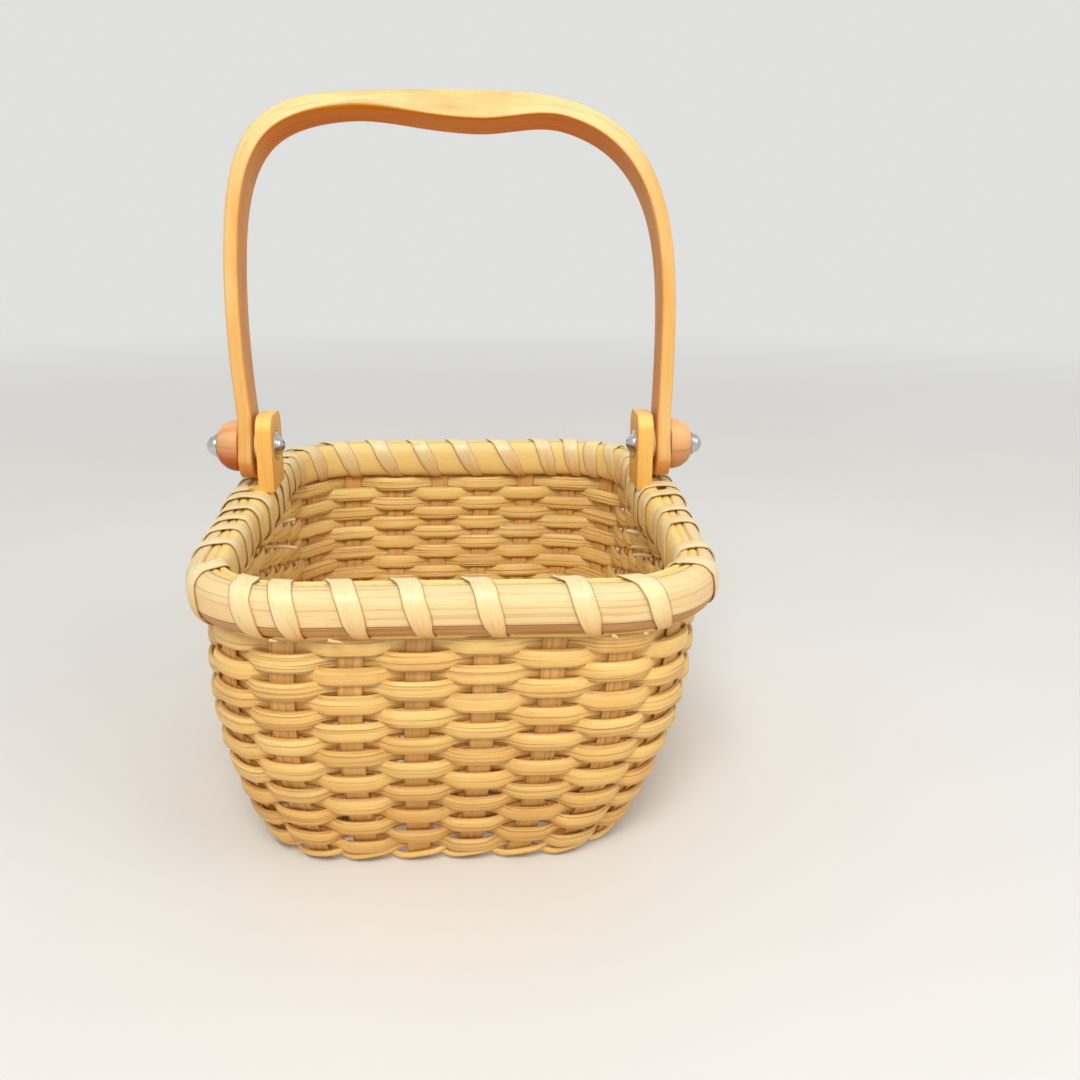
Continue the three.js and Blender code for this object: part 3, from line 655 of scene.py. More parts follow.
def splint_on_wall(number, settings, half_wide, half_thick):
    """Middle, half width and half thickness of a splint up the wall. It gives a little under the reed."""
    result = []
    steps = 84
    for i in range(steps + 1):
        z = SPLINT_STARTS + (STAKE_TOP - SPLINT_STARTS) * i / steps
        point, outward, _, around = wall_frame(upright_share(number), z)
        row_place = (z - settings.first_row_height / MM) / (settings.row_pitch / MM)
        fade = smooth_step((z - 3) / 6) * smooth_step((RIM_BOTTOM - z) / 4)
        wave = math.cos(row_place * math.pi) * alternate(settings.rows - 1)
        centre = lifted(point + outward * (-SPLINT_GIVE * wave * fade * alternate(number)))
        result.append((centre, around * half_wide, outward * half_thick))
    return result


def splint(index, crosswise, settings):
    """A splint up one wall, across the base over and under the ones it meets, and up the other wall."""
    if crosswise:
        near, far = STAKES_LONG + index, UPRIGHTS - 1 - index
        direction = Vector((-1, 0, 0))
        places = [-x for x in reversed(base_places(0, STAKES_LONG, 0))]
    else:
        near, far = index, 2 * STAKES_LONG + STAKES_CROSS - 1 - index
        direction = Vector((0, 1, 0))
        places = base_places(STAKES_LONG, STAKES_CROSS, 1)
    half_wide = settings.splint_width / MM / 2
    half_thick = settings.splint_thickness / MM / 2
    start_point = outline(upright_share(near), 0)[0]
    start = start_point.dot(direction)
    end = outline(upright_share(far), 0)[0].dot(direction)
    sideways = start_point - direction * start
    points = splint_on_wall(near, settings, half_wide, half_thick)[::-1]
    first_side = points[0][1].normalized()
    across = direction.cross(Vector((0, 0, 1)))
    if first_side.dot(across) <= 0:
        across = -across
    count = 90
    for i in range(count + 1):
        along = start + BASE_BEND + (end - start - 2 * BASE_BEND) * i / count
        woven_z = base_height(along, places, index, half_thick)
        ease = min(1.0, min(along - start, end - along) / 7)
        z = half_thick + (woven_z - half_thick) * smooth_step(ease) + 0.02
        middle = lifted(sideways + direction * along + Vector((0, 0, z)))
        points.append((middle, across * half_wide, Vector((0, 0, -half_thick))))
    points.extend(splint_on_wall(far, settings, -half_wide, half_thick))
    centres, wides, deeps = (np.array([list(point[k]) for point in points]) for k in range(3))
    wides *= np.sign((wides @ np.array(list(first_side))))[:, None]
    rings = swept_rings(centres, wides, deeps, SPLINT_SECTION)
    own_tone = 0.35 + random.Random(60 + index + 20 * crosswise).uniform(-0.2, 0.2)
    # The inside face is given a paler tone, as painted light for the inside of the basket, which gets less
    # light
    tones = [[own_tone + (0.35 if v < 0 else 0.0) for _, v in SPLINT_SECTION] for _ in points]
    name = f"splint_{'cross' if crosswise else 'long'}_{index + 1}"
    return swept_piece(name, rings, False, tones, None, seed=80 + index + 20 * crosswise)


def base_height(along, places, index, half_thick):
    """Height of a base splint's middle: a soft wave, over one crossing splint and under the next."""
    low, high = half_thick, 3 * half_thick + BASE_GAP
    signs = [alternate(index + i) for i in range(len(places))]
    if along <= places[0]:
        wave = signs[0]
    elif along >= places[-1]:
        wave = signs[-1]
    else:
        number = max(i for i in range(len(places) - 1) if places[i] <= along)
        t = (along - places[number]) / (places[number + 1] - places[number])
        t = smooth_step((t - 0.2) / 0.6)
        wave = signs[number] * (1 - t) + signs[number + 1] * t
    return (low + high) / 2 + wave * (high - low) / 2


# Rim: strips and cord that follow the wall, and the cane wound over them

# How square the half-round strips are
STRIP_POWER = 2.5

# Height of the dark band along the foot of the outer strip, partly darker wood and partly painted shade under
# its rounded foot, and of the soft edge at its top
SHADED_STAINED_BAND = 4.0
SHADED_STAINED_BAND_EDGE = 0.8

# From the middle of an ear to the ends of the filler cord and of the rim rows
EAR_SLOT_HALF = 12.5


def hoop(name, shares, profile, stations, seed, unevenness, shade_and_stain_at=None, twist=0.0, painted_light_up=0.0):
    """A hoop or part of one. The profile's points are distances out from the stakes, and heights."""
    first, last = shares
    closed = last - first >= 1
    draw = random.Random(seed)
    waves = [(draw.uniform(3, 17), draw.uniform(0, 6.3), draw.uniform(0.3, 1)) for _ in range(5)]
    middle_out = sum(out for out, _ in profile) / len(profile)
    middle_z = sum(z for _, z in profile) / len(profile)
    rings, tones, shades_and_stains = [], [], []
    for i in range(stations if closed else stations + 1):
        share = first + (last - first) * i / stations
        wobble = sum(math.sin(round(k) * share * 2 * math.pi + a) * b for k, a, b in waves) / 3 * unevenness
        turn = twist * share * 4 * quarter_length(middle_z)
        c, s = math.cos(turn), math.sin(turn)
        ring = []
        for out, z in profile:
            across, above = out - middle_out, z - middle_z
            ring.append(list(on_wall(share, middle_z + across * s + above * c + wobble * 0.5,
                                     middle_out + across * c - above * s + wobble)))
        rings.append(ring)
        # Painted light: the tone can grow paler towards the top of the profile, as light falls from above
        tones.append([0.5 + wobble * 0.8 + painted_light_up * (z - middle_z) / RIM_HEIGHT for _, z in profile])
        shades_and_stains.append([shade_and_stain_at(z) if shade_and_stain_at else 0.0 for _, z in profile])
    return swept_piece(name, rings, closed, tones, shades_and_stains, seed=seed)


def strip_skin(flat_out, round_out, turn, clearance):
    """A place on or off a half-round strip's skin: turn is -90 degrees at its foot and 90 at its top."""
    u = math.copysign(abs(math.sin(turn)) ** (2 / STRIP_POWER), turn)
    v = abs(math.cos(turn)) ** (2 / STRIP_POWER)
    away = math.copysign(clearance, round_out - flat_out)
    out = flat_out + (round_out - flat_out) * v + away * math.cos(turn)
    return out, RIM_BOTTOM + RIM_HEIGHT * (0.5 + 0.5 * u) + clearance * math.sin(turn)


def half_round_profile(flat_out, round_out, points):
    """A half-round strip: flat against the wall and rounded away from it."""
    turns = [math.pi * i / points - QUARTER_TURN for i in range(points + 1)]
    return [strip_skin(flat_out, round_out, turn, 0) for turn in turns]


def flat_oval(middle_out, half_width, middle_z, half_height, points, power):
    return [(middle_out + half_width * u, middle_z + half_height * v) for u, v in oval_section(points, power)]


def shaded_stained_foot(z):
    """1 in the dark band along the outer strip's foot, partly darker wood and partly painted shade, and 0
    above it.
    """
    return smooth_step((RIM_BOTTOM + SHADED_STAINED_BAND - z) / SHADED_STAINED_BAND_EDGE)


# Where each turn of the lashing passes under the rim, counted in uprights. The left ear is at -4.5 and again
# at 27.5, and the right one at 11.5. The turns are closer together near the ears.
FRONT_PASSES = (-3.77, -3.36, -2.89, -2.42, -1.88, -1.2, -0.05, 0.88, 1.33, 2.26, 3.2, 4.24, 5.61, 6.53,
                7.75, 8.5, 9.72, 10.33, 10.96, 11.35)
BACK_PASSES = (12.17, 12.7, 13.25, 13.8, 14.45, 15.2, 16.24, 16.75, 17.35, 18.05, 19.04, 20.0, 20.9, 21.85,
               22.75, 23.6, 24.4, 25.15, 25.85, 26.4, 26.85, 27.29)

# How far a turn moves along the rim on its outside, in uprights
OUTSIDE_SLANT = 0.36

# Which point of the lashing's section is on top of the rim
CREST = 7

# How far each end of the lashing goes on past its last pass, in uprights
LASHING_START = 0.38
LASHING_END = 0.7


def lashing_section(clearance):
    """The way round the rim's section: under it, up its inside, over its top and down its outside."""
    inside = [strip_skin(INNER_STRIP_OUT, INNER_STRIP_IN, math.radians(degrees), clearance)
              for degrees in (-80, -50, -15, 20, 55, 80)]
    outside = [strip_skin(OUTER_STRIP_IN, OUTER_STRIP_OUT, math.radians(degrees), clearance)
               for degrees in (80, 55, 25, -5, -35, -62, -84)]
    under = (0.4, RIM_BOTTOM - clearance - 0.1)
    crest = (0.6, RIM_TOP + clearance + 0.15)
    return [under] + inside + [crest] + outside


def lashing_loop(start, end, section):
    """Places along one loop: distance out, height and share of the way round. Most of its slant is inside."""
    turns_over = end - min(OUTSIDE_SLANT, 0.65 * (end - start))
    up_inside, down_outside = section[:CREST + 1], section[CREST:] + section[:1]
    numbers = []
    for part, first, last in ((up_inside, start, turns_over), (down_outside, turns_over, end)):
        steps = [math.dist(here, there) for here, there in zip(part, part[1:])]
        done = 0.0
        for step in steps:
            numbers.append(first + (last - first) * done / sum(steps))
            done += step
    return [(out, z, upright_share(number)) for (out, z), number in zip(section, numbers)]


def lashing(name, passes, settings, seed):
    """Flat cane wound over the rim. It passes under the rim at each number of the list."""
    thickness = settings.cane_thickness / MM
    draw = random.Random(seed)
    section = lashing_section(0.05 + thickness / 2)
    steps = lashing_loop(passes[0] - LASHING_START, passes[0], section)[CREST:]
    for start, end in zip(passes, passes[1:]):
        steps.extend(lashing_loop(start, end, section))
    steps.extend(lashing_loop(passes[-1], passes[-1] + LASHING_END, section)[:CREST])
    path = smooth_path([(out + draw.uniform(0, 0.08), z, share + draw.uniform(-0.0003, 0.0003))
                        for out, z, share in steps], 5)
    centres = np.array([list(on_wall(share, z, out)) for out, z, share in path])
    arounds = np.array([list(wall_frame(share, z)[3]) for _, z, share in path])
    outwards = np.array([list(rim_outward(share, z, out)) for out, z, share in path])
    tangents = unit_rows(np.gradient(centres, axis=0))
    deeps = unit_rows(np.cross(tangents, arounds))
    wides = np.cross(deeps, tangents)
    deeps *= np.sign(np.einsum("ij,ij->i", deeps, outwards))[:, None]
    # The cane is drawn narrow where it squeezes through under the rim
    lowness = np.clip((RIM_BOTTOM + 6 - path[:, 1]) / 6, 0, 1)
    half_width = settings.cane_width / MM / 2 * (1 - 0.34 * lowness * lowness * (3 - 2 * lowness))
    rings = swept_rings(centres, wides * half_width[:, None], deeps * thickness / 2, CANE_SECTION)
    # Painted shade along both edges of each strand, where it meets the next one
    shades_and_stains = [[0.65 * smooth_step((abs(u) - 0.86) / 0.14) for u, _ in CANE_SECTION] for _ in path]
    # Its tone is pale over the top, and deepens down the rim, a little more outside than inside
    fade = np.where(path[:, 0] > 0, 0.95, 0.7)
    tones = 0.92 - fade * np.clip((RIM_TOP - path[:, 1]) / RIM_HEIGHT, 0, 1) ** 1.4
    return swept_piece(name, rings, False, tones, shades_and_stains, seed=seed)


def rim_outward(share, z, out):
    """Roughly the direction out of the rim's section at a place on its skin."""
    outward = wall_frame(share, z)[1]
    middle_out = (OUTER_STRIP_OUT + INNER_STRIP_IN) / 2
    middle_z = (RIM_BOTTOM + RIM_TOP) / 2
    return outward * (out - middle_out) + Vector((0, 0, z - middle_z))


def tuck_end(name, number, z, reach, turn, drop=0.0, width=2.4):
    """A trimmed end of cane that shows on the inside wall below the rim."""
    point, outward, _, _ = wall_frame(upright_share(number), z)
    angle = math.radians(turn)
    inward = -outward
    heading = Vector((inward.x * math.cos(angle) + inward.y * math.sin(angle),
                      -inward.x * math.sin(angle) + inward.y * math.cos(angle), 0))
    across = Vector((0, 0, 1)).cross(heading)
    start = lifted(point - outward * 1.2)
    half_thickness = 0.5
    centres, wides, deeps = [], [], []
    count = 24
    for i in range(count + 1):
        t = i / count
        centres.append(start + heading * reach * t + Vector((0, 0, -drop * t * t)))
        # 0 along the strip and 1 at its rounded tip
        tip = max(0.0, (reach * t - (reach - width / 2)) / (width / 2))
        wides.append(across * max(0.12, math.sqrt(max(0.0, 1 - tip * tip))) * width / 2)
        deeps.append(Vector((0, 0, half_thickness * (1 - 0.5 * tip ** 4))))
    rings = swept_rings(centres, wides, deeps, oval_section(10, 2.6))
    return swept_piece(name, rings, False, None, None, seed=len(name) + int(reach))


# Solid wood and turned pieces

def rounded_section(half_width, half_thick, radius, arc_points=4):
    """Points round a section with rounded corners, and which way each faces: 1 is inwards and -1 outwards."""
    section = []
    radius = min(radius, half_thick * 0.95, half_width * 0.95)
    for corner, (sx, sy) in enumerate(((1, 1), (-1, 1), (-1, -1), (1, -1))):
        for i in range(arc_points + 1):
            angle = QUARTER_TURN * (corner + i / arc_points)
            section.append((sx * (half_width - radius) + radius * math.cos(angle),
                            sy * (half_thick - radius) + radius * math.sin(angle), math.sin(angle)))
    filled = []
    for number, (y, depth, facing) in enumerate(section):
        filled.append((y, depth, facing))
        if number % (arc_points + 1) == arc_points:
            next_y, next_depth, _ = section[(number + 1) % len(section)]
            for share in (0.04, 0.96):
                filled.append((y + (next_y - y) * share, depth + (next_depth - depth) * share, facing))
    return filled


# Handle, as heights from the pivot line: the leg's end, where a leg begins to bow outwards, where it stops
# bowing, and where the shoulder begins
LEG_END = -9.7
BOW_START = 8.0
BOW_REACH = 57.0
SHOULDER = 30.0

# How far each leg bows outwards, and the legs' share of the points along half the handle
RIGHT_BOW = 2.0
LEFT_BOW = 3.5
LEG_SHARE = 0.36

# Middle of the grip, and how far it reaches to either side
GRIP_MIDDLE = 8.0
GRIP_REACH_LEFT = 40.0
GRIP_REACH_RIGHT = 28.0

# Carved facet in front of the grip, and the stretch with rounder edges: middle, and reach to either side
FACET_MIDDLE = 2.0
FACET_REACH = 17.0
ROUNDED_MIDDLE = -30.0
ROUNDED_REACH = 24.0


def handle_outer(side, part, settings):
    """Outer line of half the handle, from the leg's end (0) to the middle of its top (1)."""
    bow = RIGHT_BOW if side > 0 else LEFT_BOW
    power = (settings.right_squareness if side > 0 else settings.left_squareness) / 2
    height = settings.handle_height / MM

    def leg_out(along):
        reached = min(1.0, max(0.0, (along - BOW_START) / (BOW_REACH - BOW_START)))
        return PIVOT_X + HANDLE_THICKNESS + bow * reached * (2 - reached)

    if part < LEG_SHARE:
        along = LEG_END + (SHOULDER - LEG_END) * (part / LEG_SHARE) ** 1.7
        return np.array([side * leg_out(along), along])
    t = (part - LEG_SHARE) / (1 - LEG_SHARE)
    angle = math.atan2(t ** power, (1 - t) ** power)
    z = SHOULDER + (height - SHOULDER) * math.sin(angle) ** (1 / power)
    return np.array([side * leg_out(z) * math.cos(angle) ** (1 / power), z])


def handle_line(settings, count):
    right = [handle_outer(1, i / count, settings) for i in range(count)]
    left = [handle_outer(-1, i / count, settings) for i in range(count)]
    return np.array(right + [handle_outer(1, 1.0, settings)] + left[::-1])


def bentwood_handle(settings):
    """The handle: a bent strap with rounded leg ends and a grip carved into the thick middle."""
    line = handle_line(settings, 120)
    path = unit_rows(np.gradient(line, axis=0))
    c, s = math.cos(settings.handle_lean), math.sin(settings.handle_lean)
    height = settings.handle_height / MM
    half_width = settings.handle_width / MM / 2
    rings, tones, shades_and_stains = [], [], []
    for (x, z), (along_x, along_z) in zip(line, path):
        on_top = smooth_step((z - height * 0.6) / (height * 0.4))
        reach = GRIP_REACH_LEFT if x < GRIP_MIDDLE else GRIP_REACH_RIGHT
        grip = 1 - smooth_step(abs(x - GRIP_MIDDLE) / reach)
        thickness = HANDLE_THICKNESS + on_top * (1.0 + 3.6 * grip)
        # 0 up the leg and 1 at its rounded end
        into_end = max(0.0, -z - (-LEG_END - half_width)) / half_width
        width = half_width * math.sqrt(max(0.02, 1 - into_end ** 2))
        edge = 0.9 + 1.3 * on_top * (1 - smooth_step(abs(x - ROUNDED_MIDDLE) / ROUNDED_REACH))
        section = rounded_section(width, thickness / 2, edge)
        ring = []
        for y, depth, _ in section:
            inner = thickness / 2 + depth
            px, pz = x - along_z * inner, z + along_x * inner
            ring.append((px, y * c + pz * s, PIVOT_Z + pz * c - y * s))
        rings.append(ring)
        # The top is pale with a deeper facet in front. The inside and the leg ends get painted shade,
        # strongest under the top
        facet = smooth_step((1 - ((x - FACET_MIDDLE) / FACET_REACH) ** 2) * 3) * on_top
        tones.append([0.05 + 0.95 * on_top - (0.3 * facet if y < 0 and abs(facing) < 0.5 else 0)
                      for y, _, facing in section])
        shaded_end = 0.4 * smooth_step((into_end - 0.35) / 0.2)
        shades_and_stains.append([max(shaded_end, (0.35 + 0.65 * on_top) * smooth_step((facing - 0.3) / 0.4))
                         for _, _, facing in section])
    return swept_piece("bent_handle", rings, False, tones, shades_and_stains, seed=5)


def turned_piece(name, profile, side, sides, painted_top_light=0.0, tone=0.5, shade=0.0):
    """A round piece about the pivot line, from distances along it and radii. Its top can be painted paler as
    painted light, and its lower side darker as painted shade.
    """
    turns = [(math.cos(angle), math.sin(angle)) for angle in turn_steps(sides)]
    rings = [[(side * x, radius * c, PIVOT_Z + radius * s) for c, s in turns] for x, radius in profile]
    tones = [[tone + painted_top_light * s for _, s in turns] for _ in profile]
    shades_and_stains = [[shade * smooth_step((0.2 - s) / 0.8) for _, s in turns] for _ in profile]
    return swept_piece(name, rings, False, tones, shades_and_stains, seed=len(name) + side)


def soft_profile(points, per_span):
    return [tuple(p) for p in smooth_path(points, per_span)]


def shaped_block(name, outline_points, from_x, to_x, side):
    """A flat block across X from its outline in Y and Z."""
    mesh = bpy.data.meshes.new(name)
    count = len(outline_points)
    points = [(side * x * MM, y * MM, z * MM) for x in (from_x, to_x) for y, z in outline_points]
    faces = [tuple(range(count)), tuple(reversed(range(count, 2 * count)))]
    for i in range(count):
        k = (i + 1) % count
        faces.append((i, count + i, count + k, k))
    mesh.from_pydata(points, [], faces)
    face_outward(mesh)
    return placed(name, mesh)


def rectangle(half_width, low, high):
    return [(-half_width, low), (half_width, low), (half_width, high), (-half_width, high)]


def apply_modifiers(piece):
    """Keeps what the piece's modifiers make, and removes them."""
    graph = bpy.context.evaluated_depsgraph_get()
    made = bpy.data.meshes.new_from_object(piece.evaluated_get(graph))
    piece.modifiers.clear()
    piece.data = made


def face_outward(mesh):
    """Turns every face outwards."""
    work = bmesh.new()
    work.from_mesh(mesh)
    bmesh.ops.recalc_face_normals(work, faces=work.faces)
    work.to_mesh(mesh)
    work.free()


def box_fibres(mesh, along_axis, seed):
    """Fibre coordinates on a solid block: grain along one axis, each face seen square on."""
    shift_along, shift_across = fibre_shift(seed)
    layer = mesh.uv_layers.get("fibre") or mesh.uv_layers.new(name="fibre")
    others = [axis for axis in range(3) if axis != along_axis]
    for face in mesh.polygons:
        across = min(others, key=lambda axis: abs(face.normal[axis]))
        for index in face.loop_indices:
            point = mesh.vertices[mesh.loops[index].vertex_index].co / CM
            layer.data[index].uv = (point[along_axis] + shift_along, point[across] + shift_across)
    for name, amount in (("tone", 0.5), ("crevice", 0.0)):
        if name not in mesh.attributes:
            values = mesh.attributes.new(name, "FLOAT", "POINT")
            values.data.foreach_set("value", [amount] * len(mesh.vertices))


def boolean(piece, other, operation):
    """Joins a piece with another one or cuts it by that one, and removes the other."""
    change = piece.modifiers.new("boolean", "BOOLEAN")
    change.operation = operation
    change.solver = "EXACT"
    change.object = other
    apply_modifiers(piece)
    bpy.data.objects.remove(other)


def sharp_edges(piece, degrees):
    """Smooth shading, apart from edges sharper than this."""
    piece.data.polygons.foreach_set("use_smooth", [True] * len(piece.data.polygons))
    piece.data.set_sharp_from_angle(angle=math.radians(degrees))


def soften_edges(piece, width_mm, segments, from_degrees):
    bevel = piece.modifiers.new("soft edges", "BEVEL")
    bevel.width = width_mm * MM
    bevel.segments = segments
    bevel.limit_method = "ANGLE"
    bevel.angle_limit = math.radians(from_degrees)
    apply_modifiers(piece)


def ear(side, name):
    """An ear: a rounded block above the rim with a shallow seat for the washer, and a foot in the rim."""
    half_width, top, corner = 9.0, PIVOT_Z + 10.0, 5.0
    inner_x = EAR_OUTER_X - EAR_THICKNESS
    block_low, foot_low, foot_half_width = 88.4, 76.0, 4.8
    points = [(-half_width, block_low), (half_width, block_low)]
    for start, sign in ((0, 1), (QUARTER_TURN, -1)):
        for i in range(9):
            angle = start + QUARTER_TURN * i / 8
            points.append((sign * (half_width - corner) + corner * math.cos(angle),
                           top - corner + corner * math.sin(angle)))
    block = shaped_block(name, points, inner_x, EAR_OUTER_X, side)
    foot = rectangle(foot_half_width, foot_low, block_low - 0.2)
    bridge = rectangle(foot_half_width, block_low - 0.5, block_low + 0.3)
    foot = shaped_block(name + "_foot", foot, EAR_FOOT_IN, EAR_FOOT_OUT, side)
    bridge = shaped_block(name + "_bridge", bridge, inner_x + 1.5, EAR_FOOT_OUT - 0.1, side)
    for part in (bridge, foot):
        boolean(block, part, "UNION")
    for cut, radius, to_x, sides in (("_seat", 4.6, inner_x + 1.0, 40), ("_hole", 2.3, EAR_OUTER_X + 3, 28)):
        profile = [(inner_x - 3, radius), (to_x, radius)]
        boolean(block, turned_piece(name + cut, profile, side, sides), "DIFFERENCE")
    soften_edges(block, 0.75, 2, 35)
    sharp_edges(block, 40)
    box_fibres(block.data, 2, 11 + side)
    # The faces that look up are painted paler than the upright ones, as painted light from above
    tones = [0.3 + 0.7 * smooth_step((vertex.normal.z - 0.15) / 0.45) for vertex in block.data.vertices]
    block.data.attributes["tone"].data.foreach_set("value", tones)
    return block


def bolt_with_head(side, name):
    """A pan-head screw with a cross slot. Its head is inside the basket, its end in the cap nut."""
    shank, shank_end = 1.95, 75.0
    head = [(52.5, 0.05), (52.6, 0.7), (52.95, 1.6), (53.5, 2.35), (54.2, 2.85), (54.9, 3.0), (55.15, 2.9)]
    profile = soft_profile(head, 4) + [(55.15, shank), (shank_end, shank), (shank_end, 0.05)]
    piece = turned_piece(name, profile, side, 40)
    slot_half_length, slot_half_width = 1.7, 0.32
    for turn in (0.5, 0.5 + QUARTER_TURN):
        along_y, along_z = math.cos(turn) * slot_half_length, math.sin(turn) * slot_half_length
        across_y, across_z = -math.sin(turn) * slot_half_width, math.cos(turn) * slot_half_width
        points = [(a * along_y + b * across_y, PIVOT_Z + a * along_z + b * across_z)
                  for a, b in ((1, 1), (-1, 1), (-1, -1), (1, -1))]
        boolean(piece, shaped_block(name + "_slot", points, 51.0, 53.7, side), "DIFFERENCE")
    sharp_edges(piece, 38)
    return piece


def ring_washer(name, side, from_x, to_x, radius, bore):
    edge = 0.12
    profile = [(from_x + edge, bore), (from_x, bore + edge), (from_x, radius - edge), (from_x + edge, radius),
               (to_x - edge, radius), (to_x, radius - edge), (to_x, bore + edge), (to_x - edge, bore)]
    rings = [[(side * x, r * math.cos(angle), PIVOT_Z + r * math.sin(angle)) for x, r in profile]
             for angle in turn_steps(40)]
    piece = swept_piece(name, rings, True, None, None, seed=3 + side)
    sharp_edges(piece, 50)
    return piece


def turned_bead(side, name):
    """A turned bead, painted paler on top and darker below as painted light and shade. The left one is deeper
    in tone and has more painted shade below.
    """
    curve = [(65.65, 7.5), (66.3, 7.8), (67.8, 7.72), (69.6, 7.1), (71.2, 5.9), (72.2, 4.6), (72.5, 3.7)]
    profile = [(65.65, 0.05), (65.65, 6.9)] + soft_profile(curve, 5) + [(72.5, 0.05)]
    tone, shade = (0.6, 0.85) if side < 0 else (0.95, 0.15)
    piece = turned_piece(name, profile, side, 56, 0.5, tone, shade)
    sharp_edges(piece, 45)
    return piece


def cap_nut(side, name):
    base = [(72.55, 0.05), (72.55, 3.45), (72.7, 3.6), (73.25, 3.6), (73.4, 3.45), (73.42, 3.05)]
    dome = [(73.55, 3.0), (74.6, 2.7), (75.4, 1.9), (75.95, 0.9), (76.08, 0.05)]
    piece = turned_piece(name, base + soft_profile(dome, 5), side, 40)
    sharp_edges(piece, 38)
    return piece


def joined(name, pieces):
    """Several small meshes as one piece."""
    base = pieces[0]
    base.name = name
    with bpy.context.temp_override(active_object=base, selected_editable_objects=pieces,
                                   selected_objects=pieces):
        bpy.ops.object.join()
    return base


def hair(start, bend, length, thickness, seed):
    """A loose fibre that stands off the reed."""
    draw = random.Random(seed)
    direction = Vector(bend).normalized()
    places = [Vector(start)]
    for _ in range(6):
        sway = Vector((draw.uniform(-0.35, 0.35), draw.uniform(-0.2, 0.2), draw.uniform(-0.3, 0.2)))
        direction = (direction + sway).normalized()
        places.append(places[-1] + direction * length / 6)
    line = smooth_path([list(place) for place in places], 4)
    tangents = unit_rows(np.gradient(line, axis=0))
    wides = unit_rows(np.cross(tangents, np.array([0.1, 0.2, 1.0])))
    deeps = np.cross(wides, tangents)
    taper = np.linspace(1, 0.35, len(line))[:, None] * thickness
    rings = swept_rings(line, wides * taper, deeps * taper, oval_section(6, 2.0))
    return swept_piece("hair", rings, False, None, None, seed=seed)


# Materials

# Colours on screen of all that has fibres or grain: palest, deepest, and the dark fibres or grain lines
FIBRE_COLORS = {
    "reed": ("Reed", (0.98, 0.86, 0.55), (0.85, 0.61, 0.28), (0.60, 0.37, 0.15)),
    "splint": ("Splints", (0.94, 0.76, 0.46), (0.80, 0.58, 0.29), (0.62, 0.38, 0.16)),
    "rim": ("Outer rim strip", (0.925, 0.85, 0.64), (0.91, 0.71, 0.47), (0.48, 0.29, 0.14)),
    "inner": ("Inner rim strip", (0.98, 0.88, 0.58), (0.95, 0.80, 0.49), (0.48, 0.29, 0.14)),
    "cord": ("Filler cord", (0.98, 0.88, 0.58), (0.95, 0.80, 0.49), (0.62, 0.38, 0.16)),
    "cane": ("Lashing cane", (0.96, 0.91, 0.71), (0.85, 0.60, 0.27), (0.66, 0.43, 0.18)),
    "ear": ("Ears", (0.97, 0.83, 0.48), (0.95, 0.67, 0.32), (0.74, 0.44, 0.15)),
    "handle": ("Handle", (0.895, 0.865, 0.64), (0.87, 0.635, 0.33), (0.76, 0.47, 0.19)),
    "bead": ("Beads", (0.95, 0.72, 0.50), (0.48, 0.18, 0.08), (0.42, 0.16, 0.08)),
    "spacer": ("Spacer washers", (0.895, 0.865, 0.64), (0.895, 0.865, 0.64), (0.76, 0.47, 0.19)),
}
TONES = ("pale", "deep", "line")


def basket_materials(settings):
    """Every finish of the basket, made once."""
    looks = {item.name[len(LOOK):]: item for item in bpy.data.materials if item.name.startswith(LOOK)}
    if looks:
        return looks

    def colors(thing):
        return [getattr(settings, f"{thing}_{tone}") for tone in TONES]

    reed_material("reed", *colors("reed"), fine=14, grooves=0.8, streaks=0.4, gloss=(0.34, 0.52), ridges=0.45,
                  shade_and_stain_tint=(0.74, 0.54, 0.33))
    reed_material("foot_reed", *colors("reed"), fine=18, grooves=0.5, streaks=0.4)
    reed_material("splint", *colors("splint"), fine=20, grooves=0.7, streaks=0.55, ridges=0.4)
    reed_material("rim_strip", *colors("rim"), fine=16, grooves=0.35, streaks=0.4, gloss=(0.42, 0.6),
                  ridges=0.28, shade_and_stain_tint=(0.78, 0.62, 0.42), edge_line=0.9)
    reed_material("inner_strip", *colors("inner"), fine=11, grooves=0.3, streaks=0.3)
    reed_material("cord", *colors("cord"), fine=10, grooves=0.6, streaks=0.3)
    reed_material("cane", *colors("cane"), fine=13, grooves=0.3, streaks=0.6, gloss=(0.28, 0.42),
                  variety=0.75, shade_and_stain_tint=(0.62, 0.46, 0.28))
    wood_material("ear_wood", *colors("ear"))
    wood_material("handle_wood", *colors("handle"))
    wood_material("bead_wood", *colors("bead"), gloss=(0.25, 0.4), coat=0.15, ring_scale=8)
    wood_material("pale_wood", *colors("spacer"))
    metal_material("bright_metal", settings.metal)
    return basket_materials(settings)


def metal_material(name, color):
    """Bright plated steel with faint turning marks and handling wear."""
    s = Shader(name)
    point = s.object_point()
    marks = s.noise(s.stretched(point, (300, 300, 300)), detail=3)
    wear = s.noise(s.stretched(point, (90, 90, 90), (3, 1, 2)), detail=4)
    tint = s.mix(s.spread(wear, 0.35, 0.7), linear(color), linear([v * 0.82 for v in color]))
    normal = s.bump(marks, 0.08, 0.05)
    return s.finish(tint, s.spread(wear, 0.3, 0.7, 0.16, 0.34), normal, Metallic=1.0)


